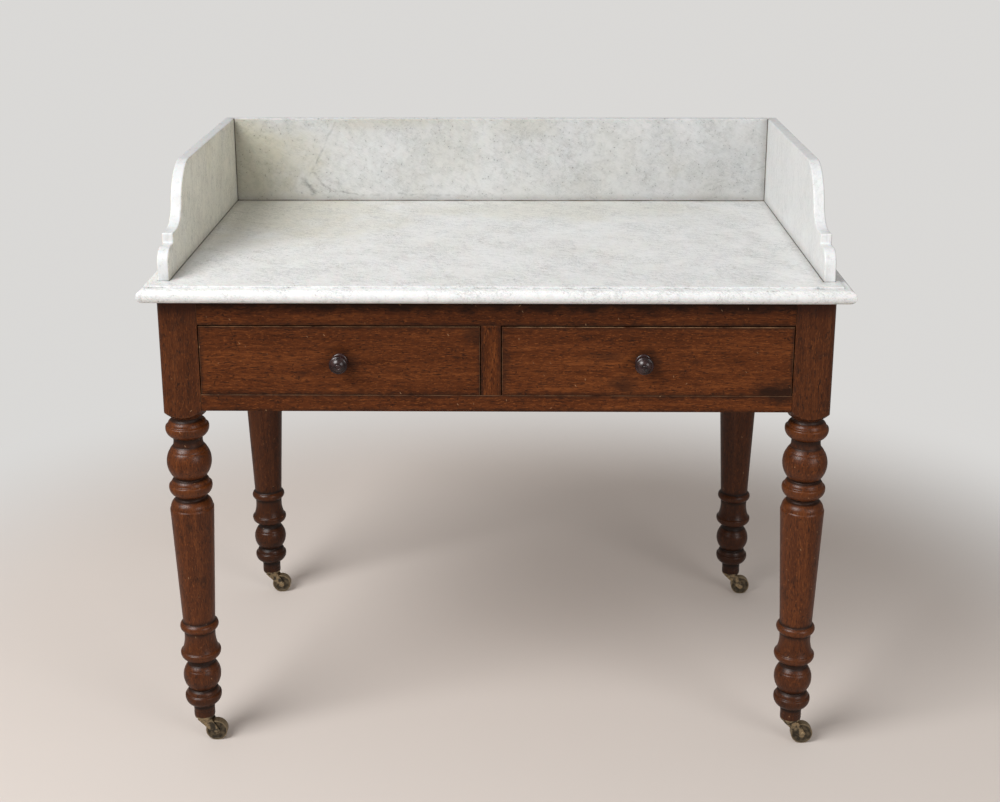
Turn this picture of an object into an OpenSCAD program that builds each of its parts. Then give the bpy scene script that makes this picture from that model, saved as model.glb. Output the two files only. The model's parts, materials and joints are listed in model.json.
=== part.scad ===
// Victorian washstand: a marble top with a three-sided splash, on a mahogany stand with
// turned legs, brass castors and two drawers side by side.
// Frame: origin on the floor under the middle of the marble, +X right, front towards -Y, +Z up.
// All sizes are millimetres.

/* [Marble top] */
// Width of the marble slab from left to right
slab_w = 1040; // [980:5:1120]
// Depth of the marble slab from front to back
slab_d = 620; // [600:5:680]
// Thickness of the marble slab
slab_t = 24; // [20:1:30]
// Height of the slab's upper face above the floor
top_h = 770; // [730:5:800]
// Distance from the moulded edge to the small step on top of it
step_in = 16; // [14:0.5:20]
// Height of the small step on top of the moulded edge
step_h = 3; // [2:0.5:5]

/* [Marble splash] */
// Height of the splash above the slab
splash_h = 150; // [140:5:180]
// Thickness of the three splash slabs
splash_t = 17.5; // [16:0.5:24]
// Distance from the slab's end to the outer face of a side splash
splash_end_inset = 23; // [21:1:30]
// Distance from the slab's front to the foot of a side splash
splash_front_inset = 44; // [30:1:60]
// Height of the rounded foot at a side splash's front
splash_foot_h = 47; // [40:1:52]
// Radius of that rounded foot
splash_foot_r = 25; // [15:1:35]
// Setback from the foot to the small square step above it
splash_riser_in = 42; // [30:1:46]
// Height of the small square step
splash_riser_h = 15; // [10:1:18]
// Depth of the ledge on the square step
splash_ledge = 24; // [14:1:30]
// Radius of the hollow that rises from the ledge
splash_cove_r = 45; // [34:1:54]
// Steepest slope between the hollow and the shoulder, in degrees
splash_slope = 75; // [66:1:82]
// Depth of the housing that the splash stands in
splash_seat_depth = 1.5; // [1:0.25:3]
// Gap around the splash in its housing
splash_seat_gap = 0.5; // [0.2:0.1:1]
// Diameter of the brass dowels that pin the splash to the slab
dowel_d = 6; // [4:1:8]
// Length of those dowels
dowel_len = 30; // [20:2:40]

/* [Stand] */
// How far the slab reaches past the front legs at each end
end_overhang = 20; // [14:1:30]
// How far the slab reaches past the front legs' faces
front_overhang = 30; // [28:1:40]
// How far the slab reaches past the back legs' faces
back_overhang = 12; // [4:1:30]
// How much closer to the middle the back legs stand than the front legs
back_leg_inset = 26; // [20:1:30]
// Height of the top rail
top_rail_h = 40; // [32:1:50]
// Thickness of the top rail from front to back
top_rail_t = 30; // [24:1:40]
// Height of the drawer openings
opening_h = 108; // [90:1:120]
// Height of the bottom rail
bottom_rail_h = 26; // [22:1:32]
// Width of the upright between the drawers
muntin_w = 30; // [24:1:40]
// Thickness of that upright from front to back
muntin_t = 22; // [18:1:28]
// How far the upright stands to the right of the middle
muntin_shift = -7; // [-20:1:20]
// Thickness of the end and back panels
panel_t = 20; // [16:1:22]
// Setback of the end panels from the back legs' outer faces
end_panel_inset = 2; // [0:0.5:4]
// Setback of the back panel from the back legs' faces
back_panel_inset = 5; // [0:1:10]
// Thickness of every tenon
tenon_t = 8; // [6:1:10]
// Length of the tenons in the legs
tenon_len = 25; // [18:1:28]
// Wood in front of the rails' tenons
tenon_setback = 7; // [5:0.5:8]
// Wood left between the tenons that meet in a front leg
tenon_apart = 4; // [2:0.5:6]
// Shoulder above and below every tenon
tenon_shoulder = 5; // [3:1:8]

/* [Leg] */
// Side of the square block at the head of each leg
block_w = 60; // [56:1:66]
// Radius of the block's outer corner
block_round = 15; // [6:1:20]
// How far the block reaches below the bottom rail
block_drop = 16; // [12:1:24]
// Height of the turned shoulder at the block's corners
shoulder_h = 20; // [14:1:26]
// How far the turned shoulder bulges between neck and corner
shoulder_bulge = 1.5; // [0.5:0.25:3]
// Height of the hollow neck under the block
collar_h = 6; // [3:1:10]
// Depth of that hollow
collar_hollow = 1.5; // [0.5:0.25:2.5]
// Diameter of the necks next to the block
collar_d = 49; // [44:1:54]
// Height of the small dome on top of each large ring
reed_h = 9; // [6:1:12]
// Diameter of that small dome
reed_d = 59; // [55:1:62]
// Depth of the groove between a dome and the round below it
groove_in = 1.5; // [0.5:0.25:2]
// Height of the two large rings
ring_h = 19; // [14:1:24]
// Diameter of the two large rings
ring_d = 66; // [62:1:70]
// Height of the hollow neck between ring and ball
neck_h = 13; // [8:1:18]
// Smallest diameter of the upper necks
neck_d = 44; // [38:1:48]
// Height of the large ball
ball_h = 55; // [46:1:60]
// Diameter of the large ball
ball_d = 68; // [60:1:72]
// Height of the neck under the second ring
shaft_neck_h = 6; // [4:1:10]
// Height of the domed cap on the shaft
cap_h = 13; // [10:1:16]
// Diameter of that cap
cap_d = 64; // [60:1:66]
// Diameter of the shaft at its top
shaft_top_d = 67; // [60:1:70]
// Diameter of the shaft at its foot
shaft_foot_d = 50; // [44:1:56]
// Height of the small ring under the shaft
small_ring_h = 15; // [10:1:18]
// Diameter of the small ring
small_ring_d = 60; // [54:1:64]
// Height of the drum between the small ring and the flared ring
drum_h = 35; // [26:1:42]
// Diameter of that drum
drum_d = 48; // [42:1:52]
// Diameter of the drum where it flares out at its foot
drum_foot_d = 58; // [52:1:60]
// Height of the flared ring's round
flare_h = 15; // [12:1:20]
// Diameter of the flared ring
flare_d = 63; // [56:1:66]
// Height of the neck above the lower ball
low_neck_h = 7; // [4:1:10]
// Diameter of that neck
low_neck_d = 40; // [36:1:44]
// Height of the lower ball
low_ball_h = 45; // [36:1:50]
// Diameter of the lower ball
low_ball_d = 59; // [52:1:64]
// Height of the foot ring
foot_ring_h = 20; // [14:1:24]
// Diameter of the foot ring
foot_ring_d = 57.5; // [54:0.5:62]
// Height of the small dome on the foot ring
foot_reed_h = 9; // [6:1:12]
// Diameter of that dome
foot_reed_d = 51; // [46:1:52]
// Height of the plain ankle above the castor
ankle_h = 20.5; // [16:0.5:30]
// Diameter of the ankle
ankle_d = 33; // [32:0.5:38]
// Width of the lines scribed round the balls and ankles
scribe_w = 1.6; // [1:0.2:2.4]
// Distance from a ball's top, or up from the ankle's foot, to its scribed line
scribe_at = 9; // [6:1:12]
// Width of the small flats beside the rings, balls and necks
fillet_w = 2; // [1:0.5:3]

/* [Drawers] */
// Gap beside a drawer in its opening
drawer_side_gap = 1.2; // [0.8:0.1:2]
// Gap above a drawer in its opening
drawer_top_gap = 1.6; // [1:0.1:3]
// Running gap under a drawer
drawer_run_gap = 0.4; // [0.3:0.1:1]
// Room behind a closed drawer, in front of the back legs
drawer_back_gap = 28; // [10:1:60]
// Thickness of the drawer fronts
front_t = 22; // [18:1:25]
// Thickness of the drawer sides and backs
drawer_side_t = 12; // [10:1:15]
// How much lower than the front the drawer sides are
side_drop = 5; // [2:1:10]
// Thickness of the drawer bottoms
drawer_bottom_t = 8; // [6:1:10]
// Height of a drawer bottom above the drawer's lower edge
bottom_rise = 10; // [8:1:14]
// Depth of the grooves that hold a drawer bottom
groove_depth = 5; // [4:1:6]
// Gap around a drawer bottom in its grooves
groove_gap = 0.2; // [0.1:0.1:0.5]
// Wood left over the end of each tail in a drawer front
lap_t = 6; // [4:1:8]
// Number of dovetails at each corner
tails = 3; // [2:1:5]
// Sideways slope of the dovetails
tail_slope = 0.16; // [0.12:0.01:0.2]

/* [Runners] */
// Width of a side runner under a drawer
runner_w = 40; // [34:1:50]
// How far the centre runner reaches past the drawers' sides
runner_margin = 4; // [0:1:10]
// Thickness of runners and kickers
runner_t = 20; // [16:1:22]
// Height of the guide strips beside the drawers
guide_h = 14; // [8:1:20]
// Length of the stub tenons on runners and kickers
stub_len = 9; // [6:1:12]
// Length of a drawer stop
stop_len = 42; // [30:1:60]
// Height of a drawer stop
stop_h = 6; // [4:1:7]
// Depth of a drawer stop from front to back
stop_d = 18; // [12:1:24]

/* [Knobs] */
// Diameter of the knob's head
knob_d = 28; // [24:1:34]
// Distance from the drawer to the front of the knob
knob_reach = 29; // [26:1:30]
// Diameter of the flange against the drawer
knob_foot_d = 25; // [20:1:28]
// Diameter of the stem between foot and head
knob_stem_d = 14; // [12:1:18]
// Thickness of the head's rim and dome
knob_rim_t = 10; // [8:1:11]
// Thickness of the flange at the knob's foot
knob_foot_t = 5; // [3:0.5:6]
// How far the rim of the head hangs back over the stem
knob_rim_back = 3; // [2:0.5:3.5]
// Depth of the groove between the rim and the dome
knob_groove = 3; // [2:0.5:4]
// Rise of the dome on the head
knob_dome_rise = 6; // [4:0.5:7]
// Distance from the knob's middle to its small ring groove
knob_ring_r = 3.5; // [3:0.5:6]
// Radius of that small groove
knob_ring_groove_r = 1.2; // [0.8:0.1:1.6]
// Diameter of the spigot in the drawer front
spigot_d = 10; // [8:1:12]
// How far the right knob stands to the right of its drawer's middle
right_knob_shift = -6; // [-15:1:15]

/* [Castors] */
// Diameter of the castor wheels
wheel_d = 34; // [30:1:38]
// Width of the castor wheels
wheel_w = 13; // [9:1:14]
// Distance that a wheel trails behind its swivel
trail = 18.5; // [16:0.5:20]
// Depth of the dish in a wheel's sides
wheel_dish = 1.6; // [0:0.1:2.5]
// Width of a wheel's rim around the dish
wheel_rim = 3.4; // [2.5:0.1:5]
// Width of a wheel's hub around the axle
wheel_hub = 2.2; // [1.5:0.1:3]
// Thickness of the plate under the leg
plate_t = 3; // [2:0.5:4]
// Diameter of the plate under the leg
plate_d = 32; // [31:0.5:32]
// Thickness of the horn's crown
crown_t = 4.5; // [3:0.5:6]
// Diameter of the horn's crown
crown_d = 24; // [23:0.5:26]
// How far the cheeks start inside the crown's edge at the toe
cheek_toe_in = 1.5; // [0.5:0.5:3]
// How far the cheeks start inside the crown's edge at the heel
cheek_heel_in = 0.5; // [0:0.5:2]
// Thickness of the horn's cheeks
cheek_t = 2.2; // [1.8:0.1:3]
// Radius of the cheek around the axle
cheek_r = 5.4; // [4.5:0.1:7]
// Side play of a wheel between the cheeks
wheel_play = 0.7; // [0.4:0.1:1]
// Gap between the wheel and the crown
wheel_crown_gap = 3.2; // [1:0.1:5]
// Diameter of the axle
axle_d = 4; // [3:0.5:5]
// Diameter of the axle's riveted heads
axle_head_d = 7; // [6:0.5:9]
// Thickness of the axle's riveted heads
axle_head_t = 1; // [0.8:0.1:1.5]
// Diameter of the swivel pin
pintle_d = 7; // [6:0.5:9]
// Diameter of the collar that keeps the swivel pin in its plate
pintle_collar_d = 11; // [10:0.5:12]
// Thickness of that collar
pintle_collar_t = 2; // [1.5:0.5:3]
// Radial running gap of axles and swivel pins
running_gap = 0.08; // [0.05:0.01:0.1]
// Gap between the faces that turn on each other
face_gap = 0.3; // [0.2:0.1:0.5]
// Diameter of the plate's screws
screw_d = 2.6; // [2.2:0.1:3]
// Diameter of the screws' heads
screw_head_d = 4.4; // [4:0.1:5]
// Straight edge of the screws' heads
screw_head_edge = 0.3; // [0.2:0.1:0.5]
// Length of the plate's screws
screw_len = 14; // [10:1:18]
// Brass left between the screws' heads and the plate's edge
screw_edge = 0.9; // [0.6:0.1:1.2]

/* [Hidden] */
$fn = 72;
cut = 1;                                          // how far a cutter reaches past a face
fit_gap = 0.05;                                   // radial gap of a dowel, screw or spigot in its hole

// Marble
front_y = -slab_d / 2;
back_y = slab_d / 2;
nose_r = (slab_t - step_h) / 2;
splash_outer_x = slab_w / 2 - splash_end_inset;
splash_inner_x = splash_outer_x - splash_t;
splash_len = slab_d - splash_front_inset;
splash_hollow_z = splash_foot_h + splash_riser_h;
splash_top_r = (splash_h - splash_hollow_z) / (1 - cos(splash_slope)) - splash_cove_r;
dowel_sink = slab_t / 2;
side_dowel_spots = [0.25, 0.75];
back_dowel_spots = [-0.35, 0, 0.35];

// Stand
carcass_top = top_h - slab_t;
opening_top = carcass_top - top_rail_h;
opening_bottom = opening_top - opening_h;
rail_bottom = opening_bottom - bottom_rail_h;
block_bottom = rail_bottom - block_drop;
face_y = front_y + front_overhang;                // plane of rails, drawers and front legs
back_face_y = back_y - back_overhang;
leg_x = slab_w / 2 - end_overhang - block_w / 2;
back_leg_x = leg_x - back_leg_inset;
leg_y = face_y + block_w / 2;
back_leg_y = back_face_y - block_w / 2;
inner_x = leg_x - block_w / 2;                    // inner faces of the front legs
back_inner_x = back_leg_x - block_w / 2;
block_back_y = face_y + block_w;                  // back faces of the front legs
back_block_y = back_face_y - block_w;             // front faces of the back legs
end_panel_x = back_leg_x + block_w / 2 - end_panel_inset;
panel_x = end_panel_x - panel_t;                  // inner face of an end panel
panel_y = back_face_y - back_panel_inset - panel_t;   // inner face of the back panel
rail_tenon_y = face_y + tenon_setback;
second_tenon_y = rail_tenon_y + 2 * tenon_t;
front_end_tenon = block_back_y - second_tenon_y - tenon_t - tenon_apart;
corner_reach = block_w / 2 * sqrt(2);

// Openings of the two drawers
muntin_left = muntin_shift - muntin_w / 2;
muntin_right = muntin_shift + muntin_w / 2;
drawer_z = opening_bottom + drawer_run_gap;
drawer_h = opening_h - drawer_run_gap - drawer_top_gap;
drawer_side_h = drawer_h - side_drop;
drawer_len = back_block_y - face_y - drawer_back_gap;
drawer_back_z = bottom_rise + drawer_bottom_t + groove_gap;
front_tail_pitch = drawer_side_h / tails;
rear_tail_pitch = (drawer_side_h - drawer_back_z) / tails;
tail_share = 0.62;                                // mean height of a tail as a share of the pitch

// Leg turnings, from the block down to the shaft
z_collar = block_bottom - collar_h;
z_reed = z_collar - reed_h;
z_ring = z_reed - ring_h;
z_neck = z_ring - neck_h;
z_ball = z_neck - ball_h;
z_reed2 = z_ball - reed_h;
z_ring2 = z_reed2 - ring_h;
z_shaft_neck = z_ring2 - shaft_neck_h;
z_cap = z_shaft_neck - cap_h;
// and from the castor up to the shaft
plate_bottom = wheel_d + wheel_crown_gap + crown_t + face_gap;
z_foot = plate_bottom + plate_t;
z_ankle = z_foot + ankle_h;
z_foot_ring = z_ankle + foot_ring_h;
z_foot_reed = z_foot_ring + foot_reed_h;
z_low_ball = z_foot_reed + low_ball_h;
z_low_neck = z_low_ball + low_neck_h;
z_flare = z_low_neck + flare_h;
z_drum = z_flare + drum_h;
z_small_ring = z_drum + small_ring_h;
shaft_round = 3;
round_rise = 1.5;                                 // height of a whole bead as a share of its cut-off round
hollow_rise = 1.4;                                // height of a whole hollow as a share of its flaring part
collar_r = collar_d / 2;
neck_r = neck_d / 2;
low_neck_r = low_neck_d / 2;

// Castors
axle_z = wheel_d / 2;
crown_bottom = plate_bottom - face_gap - crown_t;
cheek_in = wheel_w / 2 + wheel_play;
cheek_out = cheek_in + cheek_t;
collar_z = z_foot + face_gap;
collar_room = 0.6;                                // gap round the swivel collar in the leg
screw_ring_r = plate_d / 2 - screw_head_d / 2 - screw_edge;
screw_angles = [90, 210, 330];
screw_head_h = (screw_head_d - screw_d) / 2 + screw_head_edge;

// Runners
runner_x = panel_x - runner_w;
centre_runner_w = muntin_w + 2 * (drawer_side_t + drawer_side_gap + runner_margin);
stop_gap = 0.3;
stop_spots = [0.2, 0.8];                          // along each opening

// Colours
marble = [0.86, 0.87, 0.85];
mahogany = [0.38, 0.19, 0.11];
dark_mahogany = [0.28, 0.14, 0.09];
pine = [0.66, 0.50, 0.33];
brass = [0.48, 0.41, 0.26];
bronze = [0.24, 0.20, 0.15];
ebonised = [0.17, 0.13, 0.13];

// ---- Small helpers ----

// Radius of the arc that stands on a chord of length h and rises by rise.
function arc_r(h, rise) = (h * h / 4 + rise * rise) / (2 * rise);

// A block given by its low corner and its high corner.
module span(low, high) {
    translate(low)
        cube(high - low);
}

// Mirrors what is drawn for the right side to the left side.
module on_side(side) {
    mirror([side < 0 ? 1 : 0, 0, 0])
        children();
}

// ---- Half profiles for the lathe: radius along X, height along Y ----

module bead(z, h, r_end, r_max) {
    r = arc_r(h, r_max - r_end);
    translate([0, z])
        square([r_end, h]);
    intersection() {
        translate([r_max - r, z + h / 2])
            circle(r);
        translate([0, z])
            square([r_max + cut, h]);
    }
}

// The upper half of a bead: widest at its foot.
module dome(z, h, r_top, r_foot) {
    intersection() {
        bead(z - h, 2 * h, r_top, r_foot);
        translate([0, z])
            square([r_foot + cut, h]);
    }
}

// A bead that is cut off a little above its widest place.
module half_round(z, h, r_foot, r_max) {
    intersection() {
        bead(z, round_rise * h, r_foot, r_max);
        translate([0, z])
            square([r_max + cut, h]);
    }
}

module cove(z, h, r_end, r_min) {
    r = arc_r(h, r_end - r_min);
    difference() {
        translate([0, z])
            square([r_end, h]);
        translate([r_min + r, z + h / 2])
            circle(r);
    }
}

// A hollow that flares out towards its foot: the lower part of a taller cove.
module flaring_cove(z, h, r_foot, r_min) {
    intersection() {
        cove(z, hollow_rise * h, r_foot, r_min);
        translate([0, z])
            square([r_foot + cut, h]);
    }
}

// Section of the scribed line on a bead, scribe_at below its top.
module scribe_on(z, h, r_end, r_max) {
    r = arc_r(h, r_max - r_end);
    up = h / 2 - scribe_at;
    translate([r_max - r + sqrt(r * r - up * up), z + h - scribe_at])
        circle(scribe_w / 2);
}

module taper(z, h, r_low, r_high) {
    polygon([[0, z], [r_low, z], [r_high, z + h], [0, z + h]]);
}

// ---- Marble ----

// Section of the slab: nose, small step and flat; the back end is square unless both is true.
module slab_section(length, both) {
    flat_end = both ? length - nose_r : length;
    step_end = both ? length - step_in : length;
    translate([nose_r, nose_r])
        circle(nose_r);
    translate([nose_r, 0])
        square([flat_end - nose_r, 2 * nose_r]);
    translate([step_in, 2 * nose_r])
        square([step_end - step_in, step_h]);
    if (both)
        translate([flat_end, nose_r])
            circle(nose_r);
}

module dowel_places() {
    for (side = [-1, 1])
        for (spot = side_dowel_spots)
            translate([side * (splash_inner_x + splash_t / 2), back_y - spot * splash_len, top_h])
                children();
    for (spot = back_dowel_spots)
        translate([spot * 2 * splash_inner_x, back_y - splash_t / 2, top_h])
            children();
}

module dowel_holes() {
    dowel_places()
        translate([0, 0, -dowel_sink])
            cylinder(h = dowel_len + fit_gap, d = dowel_d + 2 * fit_gap);
}

// Shallow housing in the slab for the three splash slabs.
module splash_housing() {
    seat_z = top_h - splash_seat_depth;
    for (side = [-1, 1])
        on_side(side)
            span([splash_inner_x - splash_seat_gap, back_y - splash_len - splash_seat_gap, seat_z],
                 [splash_outer_x + splash_seat_gap, back_y + cut, top_h + cut]);
    span([-splash_inner_x, back_y - splash_t - splash_seat_gap, seat_z],
         [splash_inner_x, back_y + cut, top_h + cut]);
}

module marble_top() {
    color(marble)
        difference() {
            intersection() {
                translate([-slab_w / 2, front_y, carcass_top])
                    rotate([90, 0, 90])
                        linear_extrude(slab_w)
                            slab_section(slab_d, false);
                translate([-slab_w / 2, back_y, carcass_top])
                    rotate([90, 0, 0])
                        linear_extrude(slab_d)
                            slab_section(slab_w, true);
            }
            splash_housing();
            dowel_holes();
        }
}

// Outline of a side splash: rounded foot, square step, hollow and rounded shoulder.
module splash_outline() {
    hollow_x = splash_riser_in + splash_ledge;
    shoulder_x = hollow_x + (splash_cove_r + splash_top_r) * sin(splash_slope);
    turn_z = splash_hollow_z + splash_cove_r * (1 - cos(splash_slope));
    intersection() {
        translate([splash_foot_r, splash_foot_h - splash_foot_r])
            circle(splash_foot_r);
        square([splash_foot_r, splash_foot_h]);
    }
    translate([0, -splash_seat_depth])
        square([splash_len, splash_foot_h - splash_foot_r + splash_seat_depth]);
    translate([splash_foot_r, 0])
        square([splash_len - splash_foot_r, splash_foot_h]);
    translate([splash_riser_in, 0])
        square([splash_len - splash_riser_in, splash_hollow_z]);
    difference() {
        translate([hollow_x, splash_hollow_z])
            square([splash_len - hollow_x, turn_z - splash_hollow_z]);
        translate([hollow_x, splash_hollow_z + splash_cove_r])
            circle(splash_cove_r);
    }
    intersection() {
        translate([shoulder_x, splash_h - splash_top_r])
            circle(splash_top_r);
        translate([hollow_x, turn_z])
            square([shoulder_x - hollow_x, splash_h - turn_z]);
    }
    translate([shoulder_x, turn_z])
        square([splash_len - shoulder_x, splash_h - turn_z]);
}

module side_splash(side) {
    color(marble)
        difference() {
            on_side(side)
                translate([splash_inner_x, front_y + splash_front_inset, top_h])
                    rotate([90, 0, 90])
                        linear_extrude(splash_t)
                            splash_outline();
            dowel_holes();
        }
}

module back_splash() {
    color(marble)
        difference() {
            span([-splash_inner_x, back_y - splash_t, top_h - splash_seat_depth],
                 [splash_inner_x, back_y, top_h + splash_h]);
            dowel_holes();
        }
}

module splash_dowels() {
    color(brass)
        dowel_places()
            translate([0, 0, -dowel_sink])
                cylinder(h = dowel_len, d = dowel_d);
}

// ---- Legs ----

module leg_turning() {
    rotate_extrude()
        difference() {
            union() {
                upper_profile();
                lower_profile();
            }
            scribe_on(z_ball, ball_h, neck_r, ball_d / 2);
            scribe_on(z_foot_reed, low_ball_h, low_neck_r, low_ball_d / 2);
            translate([ankle_d / 2, z_foot + scribe_at])
                circle(scribe_w / 2);
        }
}

// From the block down to the foot of the tapered shaft.
module upper_profile() {
    cove(z_collar, collar_h, collar_r, collar_r - collar_hollow);
    translate([0, z_collar])
        square([collar_r - collar_hollow - fillet_w, collar_h + cut]);
    dome(z_reed, reed_h, collar_r - fillet_w / 2, reed_d / 2);
    half_round(z_ring, ring_h, neck_r + fillet_w, ring_d / 2);
    cove(z_neck, neck_h, neck_r + fillet_w / 2, neck_r);
    bead(z_ball, ball_h, neck_r, ball_d / 2);
    dome(z_reed2, reed_h, collar_r, reed_d / 2);
    half_round(z_ring2, ring_h, neck_r + fillet_w, ring_d / 2);
    cove(z_shaft_neck, shaft_neck_h, neck_r + fillet_w / 2, neck_r);
    dome(z_cap, cap_h, neck_r + fillet_w, cap_d / 2);
    bead(z_cap - 2 * shaft_round, 2 * shaft_round, cap_d / 2 - groove_in, shaft_top_d / 2);
    taper(z_small_ring, z_cap - shaft_round - z_small_ring, shaft_foot_d / 2, shaft_top_d / 2);
}

// From the small ring under the shaft down to the castor.
module lower_profile() {
    bead(z_drum, small_ring_h, shaft_foot_d / 2, small_ring_d / 2);
    flaring_cove(z_flare, drum_h, drum_foot_d / 2, drum_d / 2);
    half_round(z_low_neck, flare_h, low_neck_r + fillet_w, flare_d / 2);
    cove(z_low_ball, low_neck_h, low_neck_r + fillet_w / 2, low_neck_r);
    bead(z_foot_reed, low_ball_h, low_neck_r, low_ball_d / 2);
    dome(z_foot_ring, foot_reed_h, low_neck_r + fillet_w / 2, foot_reed_d / 2);
    half_round(z_ankle, foot_ring_h, ankle_d / 2 + fillet_w, foot_ring_d / 2);
    translate([0, z_foot])
        square([ankle_d / 2, ankle_h]);
}

// The square head, with its outer front corner rounded and its lower end turned to a shoulder.
module leg_block() {
    half = block_w / 2;
    intersection() {
        translate([0, 0, block_bottom])
            linear_extrude(carcass_top - block_bottom)
                union() {
                    translate([-half, -half + block_round])
                        square([block_w, block_w - block_round]);
                    translate([-half, -half])
                        square([block_w - block_round, block_w]);
                    translate([half - block_round, -half + block_round])
                        circle(block_round);
                }
        rotate_extrude()
            translate([0, block_bottom]) {
                translate([0, shoulder_h])
                    square([block_w, carcass_top - block_bottom - shoulder_h]);
                shoulder_profile();
            }
    }
}

// The gently bulging slope from the neck out past the block's corners.
module shoulder_profile() {
    run = corner_reach + cut - collar_r;
    slope_len = sqrt(run * run + shoulder_h * shoulder_h);
    r = arc_r(slope_len, shoulder_bulge);
    back = (r - shoulder_bulge) / slope_len;
    intersection() {
        translate([collar_r + run / 2 - back * shoulder_h, shoulder_h / 2 + back * run])
            circle(r);
        square([block_w, shoulder_h]);
    }
}

// Holes in the leg's foot for the swivel pin, its collar and the plate's screws.
module castor_holes() {
    translate([0, 0, z_foot - cut])
        cylinder(h = cut + face_gap + pintle_collar_t + face_gap, d = pintle_collar_d + 2 * collar_room);
    for (a = screw_angles)
        rotate([0, 0, a])
            translate([screw_ring_r, 0, z_foot - cut])
                cylinder(h = cut + screw_len - plate_t + fit_gap, d = screw_d + 2 * fit_gap);
}

// A whole right-hand leg about its own axis, front legs as drawn and back legs turned to face back.
module leg_body(back) {
    difference() {
        union() {
            mirror([0, back ? 1 : 0, 0])
                leg_block();
            leg_turning();
        }
        castor_holes();
    }
}

module front_leg(side) {
    color(dark_mahogany)
        on_side(side)
            difference() {
                translate([leg_x, leg_y, 0])
                    leg_body(false);
                rail_tenons();
                end_panel_tenons();
            }
}

module back_leg(side) {
    color(dark_mahogany)
        on_side(side)
            difference() {
                translate([back_leg_x, back_leg_y, 0])
                    leg_body(true);
                end_panel_tenons();
                back_panel_tenon();
            }
}

// ---- Rails, upright and panels ----

// The right-hand tenons of both rails.
module rail_tenons() {
    top_rail_tenon();
    bottom_rail_tenons();
}

module top_rail_tenon() {
    span([inner_x, rail_tenon_y, opening_top + tenon_shoulder],
         [inner_x + tenon_len, rail_tenon_y + tenon_t, carcass_top - tenon_shoulder]);
}

module bottom_rail_tenons() {
    for (y = [rail_tenon_y, second_tenon_y])
        span([inner_x, y, rail_bottom + tenon_shoulder],
             [inner_x + tenon_len, y + tenon_t, opening_bottom - tenon_shoulder]);
}

// The upright's tenon, above or below its opening.
module muntin_tenon(z_low, z_high) {
    span([muntin_left + tenon_shoulder, rail_tenon_y, z_low],
         [muntin_right - tenon_shoulder, rail_tenon_y + tenon_t, z_high]);
}

module muntin_tenons() {
    muntin_tenon(opening_top, opening_top + stub_len);
    muntin_tenon(opening_bottom - stub_len, opening_bottom);
}

module top_rail() {
    color(mahogany)
        difference() {
            union() {
                span([-inner_x, face_y, opening_top],
                     [inner_x, face_y + top_rail_t, carcass_top]);
                for (side = [-1, 1])
                    on_side(side)
                        top_rail_tenon();
            }
            muntin_tenons();
            for (side = [-1, 1])
                on_side(side)
                    kicker_stub();
            centre_kicker_stub();
        }
}

module bottom_rail() {
    color(mahogany)
        difference() {
            union() {
                span([-inner_x, face_y, rail_bottom], [inner_x, block_back_y, opening_bottom]);
                for (side = [-1, 1])
                    on_side(side)
                        bottom_rail_tenons();
            }
            muntin_tenons();
            for (side = [-1, 1])
                on_side(side)
                    runner_stub();
            centre_runner_stub();
        }
}

module muntin() {
    color(mahogany) {
        span([muntin_left, face_y, opening_bottom], [muntin_right, face_y + muntin_t, opening_top]);
        muntin_tenons();
    }
}

// The right-hand end panel's tenons in the front leg and in the back leg.
module end_panel_tenons() {
    x = panel_x + (panel_t - tenon_t) / 2;
    span([x, block_back_y - front_end_tenon, rail_bottom + 2 * tenon_shoulder],
         [x + tenon_t, block_back_y, carcass_top - 2 * tenon_shoulder]);
    span([x, back_block_y, rail_bottom + 2 * tenon_shoulder],
         [x + tenon_t, back_block_y + tenon_len, carcass_top - 2 * tenon_shoulder]);
}

module end_panel(side) {
    color(mahogany)
        on_side(side) {
            span([panel_x, block_back_y, rail_bottom],
                 [panel_x + panel_t, back_block_y, carcass_top]);
            end_panel_tenons();
        }
}

// The right-hand tenon of the back panel.
module back_panel_tenon() {
    y = panel_y + (panel_t - tenon_t) / 2;
    span([back_inner_x, y, rail_bottom + 2 * tenon_shoulder],
         [back_inner_x + tenon_len, y + tenon_t, carcass_top - 2 * tenon_shoulder]);
}

module back_panel() {
    color(pine)
        difference() {
            union() {
                span([-back_inner_x, panel_y, rail_bottom],
                     [back_inner_x, panel_y + panel_t, carcass_top]);
                for (side = [-1, 1])
                    on_side(side)
                        back_panel_tenon();
            }
            centre_runner_stub();
            centre_kicker_stub();
        }
}

// ---- Runners, guides, kickers and stops ----

module runner_stub() {
    span([runner_x + tenon_shoulder, block_back_y - stub_len, opening_bottom - runner_t + tenon_shoulder],
         [inner_x - tenon_shoulder, block_back_y, opening_bottom - tenon_shoulder]);
}

module side_runner(side) {
    color(pine)
        on_side(side) {
            span([runner_x, block_back_y, opening_bottom - runner_t],
                 [panel_x, back_block_y, opening_bottom]);
            runner_stub();
        }
}

// Stubs at both ends of the centre runner.
module centre_runner_stub() {
    half = centre_runner_w / 2 - tenon_shoulder;
    span([muntin_shift - half, block_back_y - stub_len, opening_bottom - runner_t + tenon_shoulder],
         [muntin_shift + half, block_back_y, opening_bottom - tenon_shoulder]);
    span([muntin_shift - half, panel_y, opening_bottom - runner_t + tenon_shoulder],
         [muntin_shift + half, panel_y + stub_len, opening_bottom - tenon_shoulder]);
}

module centre_runner() {
    half = centre_runner_w / 2;
    color(pine) {
        span([muntin_shift - half, block_back_y, opening_bottom - runner_t],
             [muntin_shift + half, panel_y, opening_bottom]);
        centre_runner_stub();
    }
}

module side_guide(side) {
    color(pine)
        on_side(side)
            span([inner_x, block_back_y, opening_bottom],
                 [panel_x, back_block_y, opening_bottom + guide_h]);
}

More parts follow.
